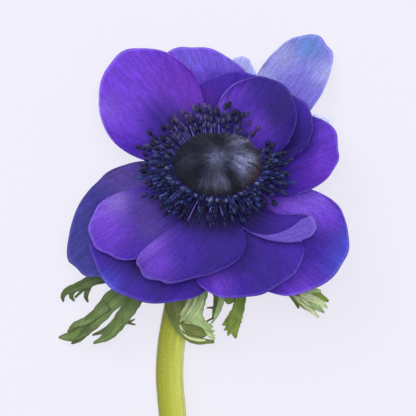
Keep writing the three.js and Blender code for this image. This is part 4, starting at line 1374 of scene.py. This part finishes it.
class ANEMONE_OT_petals(Operator):
    """Adds the petals in their layers"""
    bl_idname = "anemone.petals"
    bl_label = "Petals"

    def execute(self, context):
        build_petals(context.scene.anemone_petals)
        return {"FINISHED"}


class ANEMONE_OT_boss(Operator):
    """Adds the downy boss in the middle of the bloom"""
    bl_idname = "anemone.boss"
    bl_label = "Boss"

    def execute(self, context):
        build_boss(context.scene.anemone_centre)
        return {"FINISHED"}


class ANEMONE_OT_stamens(Operator):
    """Adds the ring of stamens"""
    bl_idname = "anemone.stamens"
    bl_label = "Stamens"

    def execute(self, context):
        build_stamens(context.scene.anemone_centre)
        return {"FINISHED"}


class ANEMONE_OT_stem(Operator):
    """Adds the stem"""
    bl_idname = "anemone.stem"
    bl_label = "Stem"

    def execute(self, context):
        build_stem(context.scene.anemone_greens)
        return {"FINISHED"}


class ANEMONE_OT_bracts(Operator):
    """Adds the cut leaves under the bloom"""
    bl_idname = "anemone.bracts"
    bl_label = "Bracts"

    def execute(self, context):
        build_bracts(context.scene.anemone_greens)
        return {"FINISHED"}


OPERATORS = (ANEMONE_OT_stage, ANEMONE_OT_petals, ANEMONE_OT_boss, ANEMONE_OT_stamens, ANEMONE_OT_stem,
             ANEMONE_OT_bracts)


class ANEMONE_PT_build(Panel):
    """Lists the pieces of the flower"""
    bl_label = "Anemone"
    bl_idname = "ANEMONE_PT_build"
    bl_space_type = "VIEW_3D"
    bl_region_type = "UI"
    bl_category = "Anemone"

    def draw(self, context):
        for operator in OPERATORS:
            self.layout.operator(operator.bl_idname)


SETTINGS = {
    "anemone_petals": AnemonePetalSettings,
    "anemone_centre": AnemoneCentreSettings,
    "anemone_greens": AnemoneGreenSettings,
    "anemone_stage": AnemoneStageSettings,
}
CLASSES = (*SETTINGS.values(), *OPERATORS, ANEMONE_PT_build)


def register():
    for cls in CLASSES:
        bpy.utils.register_class(cls)
    for name, group in SETTINGS.items():
        setattr(bpy.types.Scene, name, PointerProperty(type=group))


def unregister():
    for name in SETTINGS:
        delattr(bpy.types.Scene, name)
    for cls in reversed(CLASSES):
        bpy.utils.unregister_class(cls)


def main():
    """Builds the whole scene."""
    register()
    bpy.ops.anemone.stage()
    bpy.ops.anemone.petals()
    bpy.ops.anemone.boss()
    bpy.ops.anemone.stamens()
    bpy.ops.anemone.stem()
    bpy.ops.anemone.bracts()


if __name__ == "__main__":
    main()
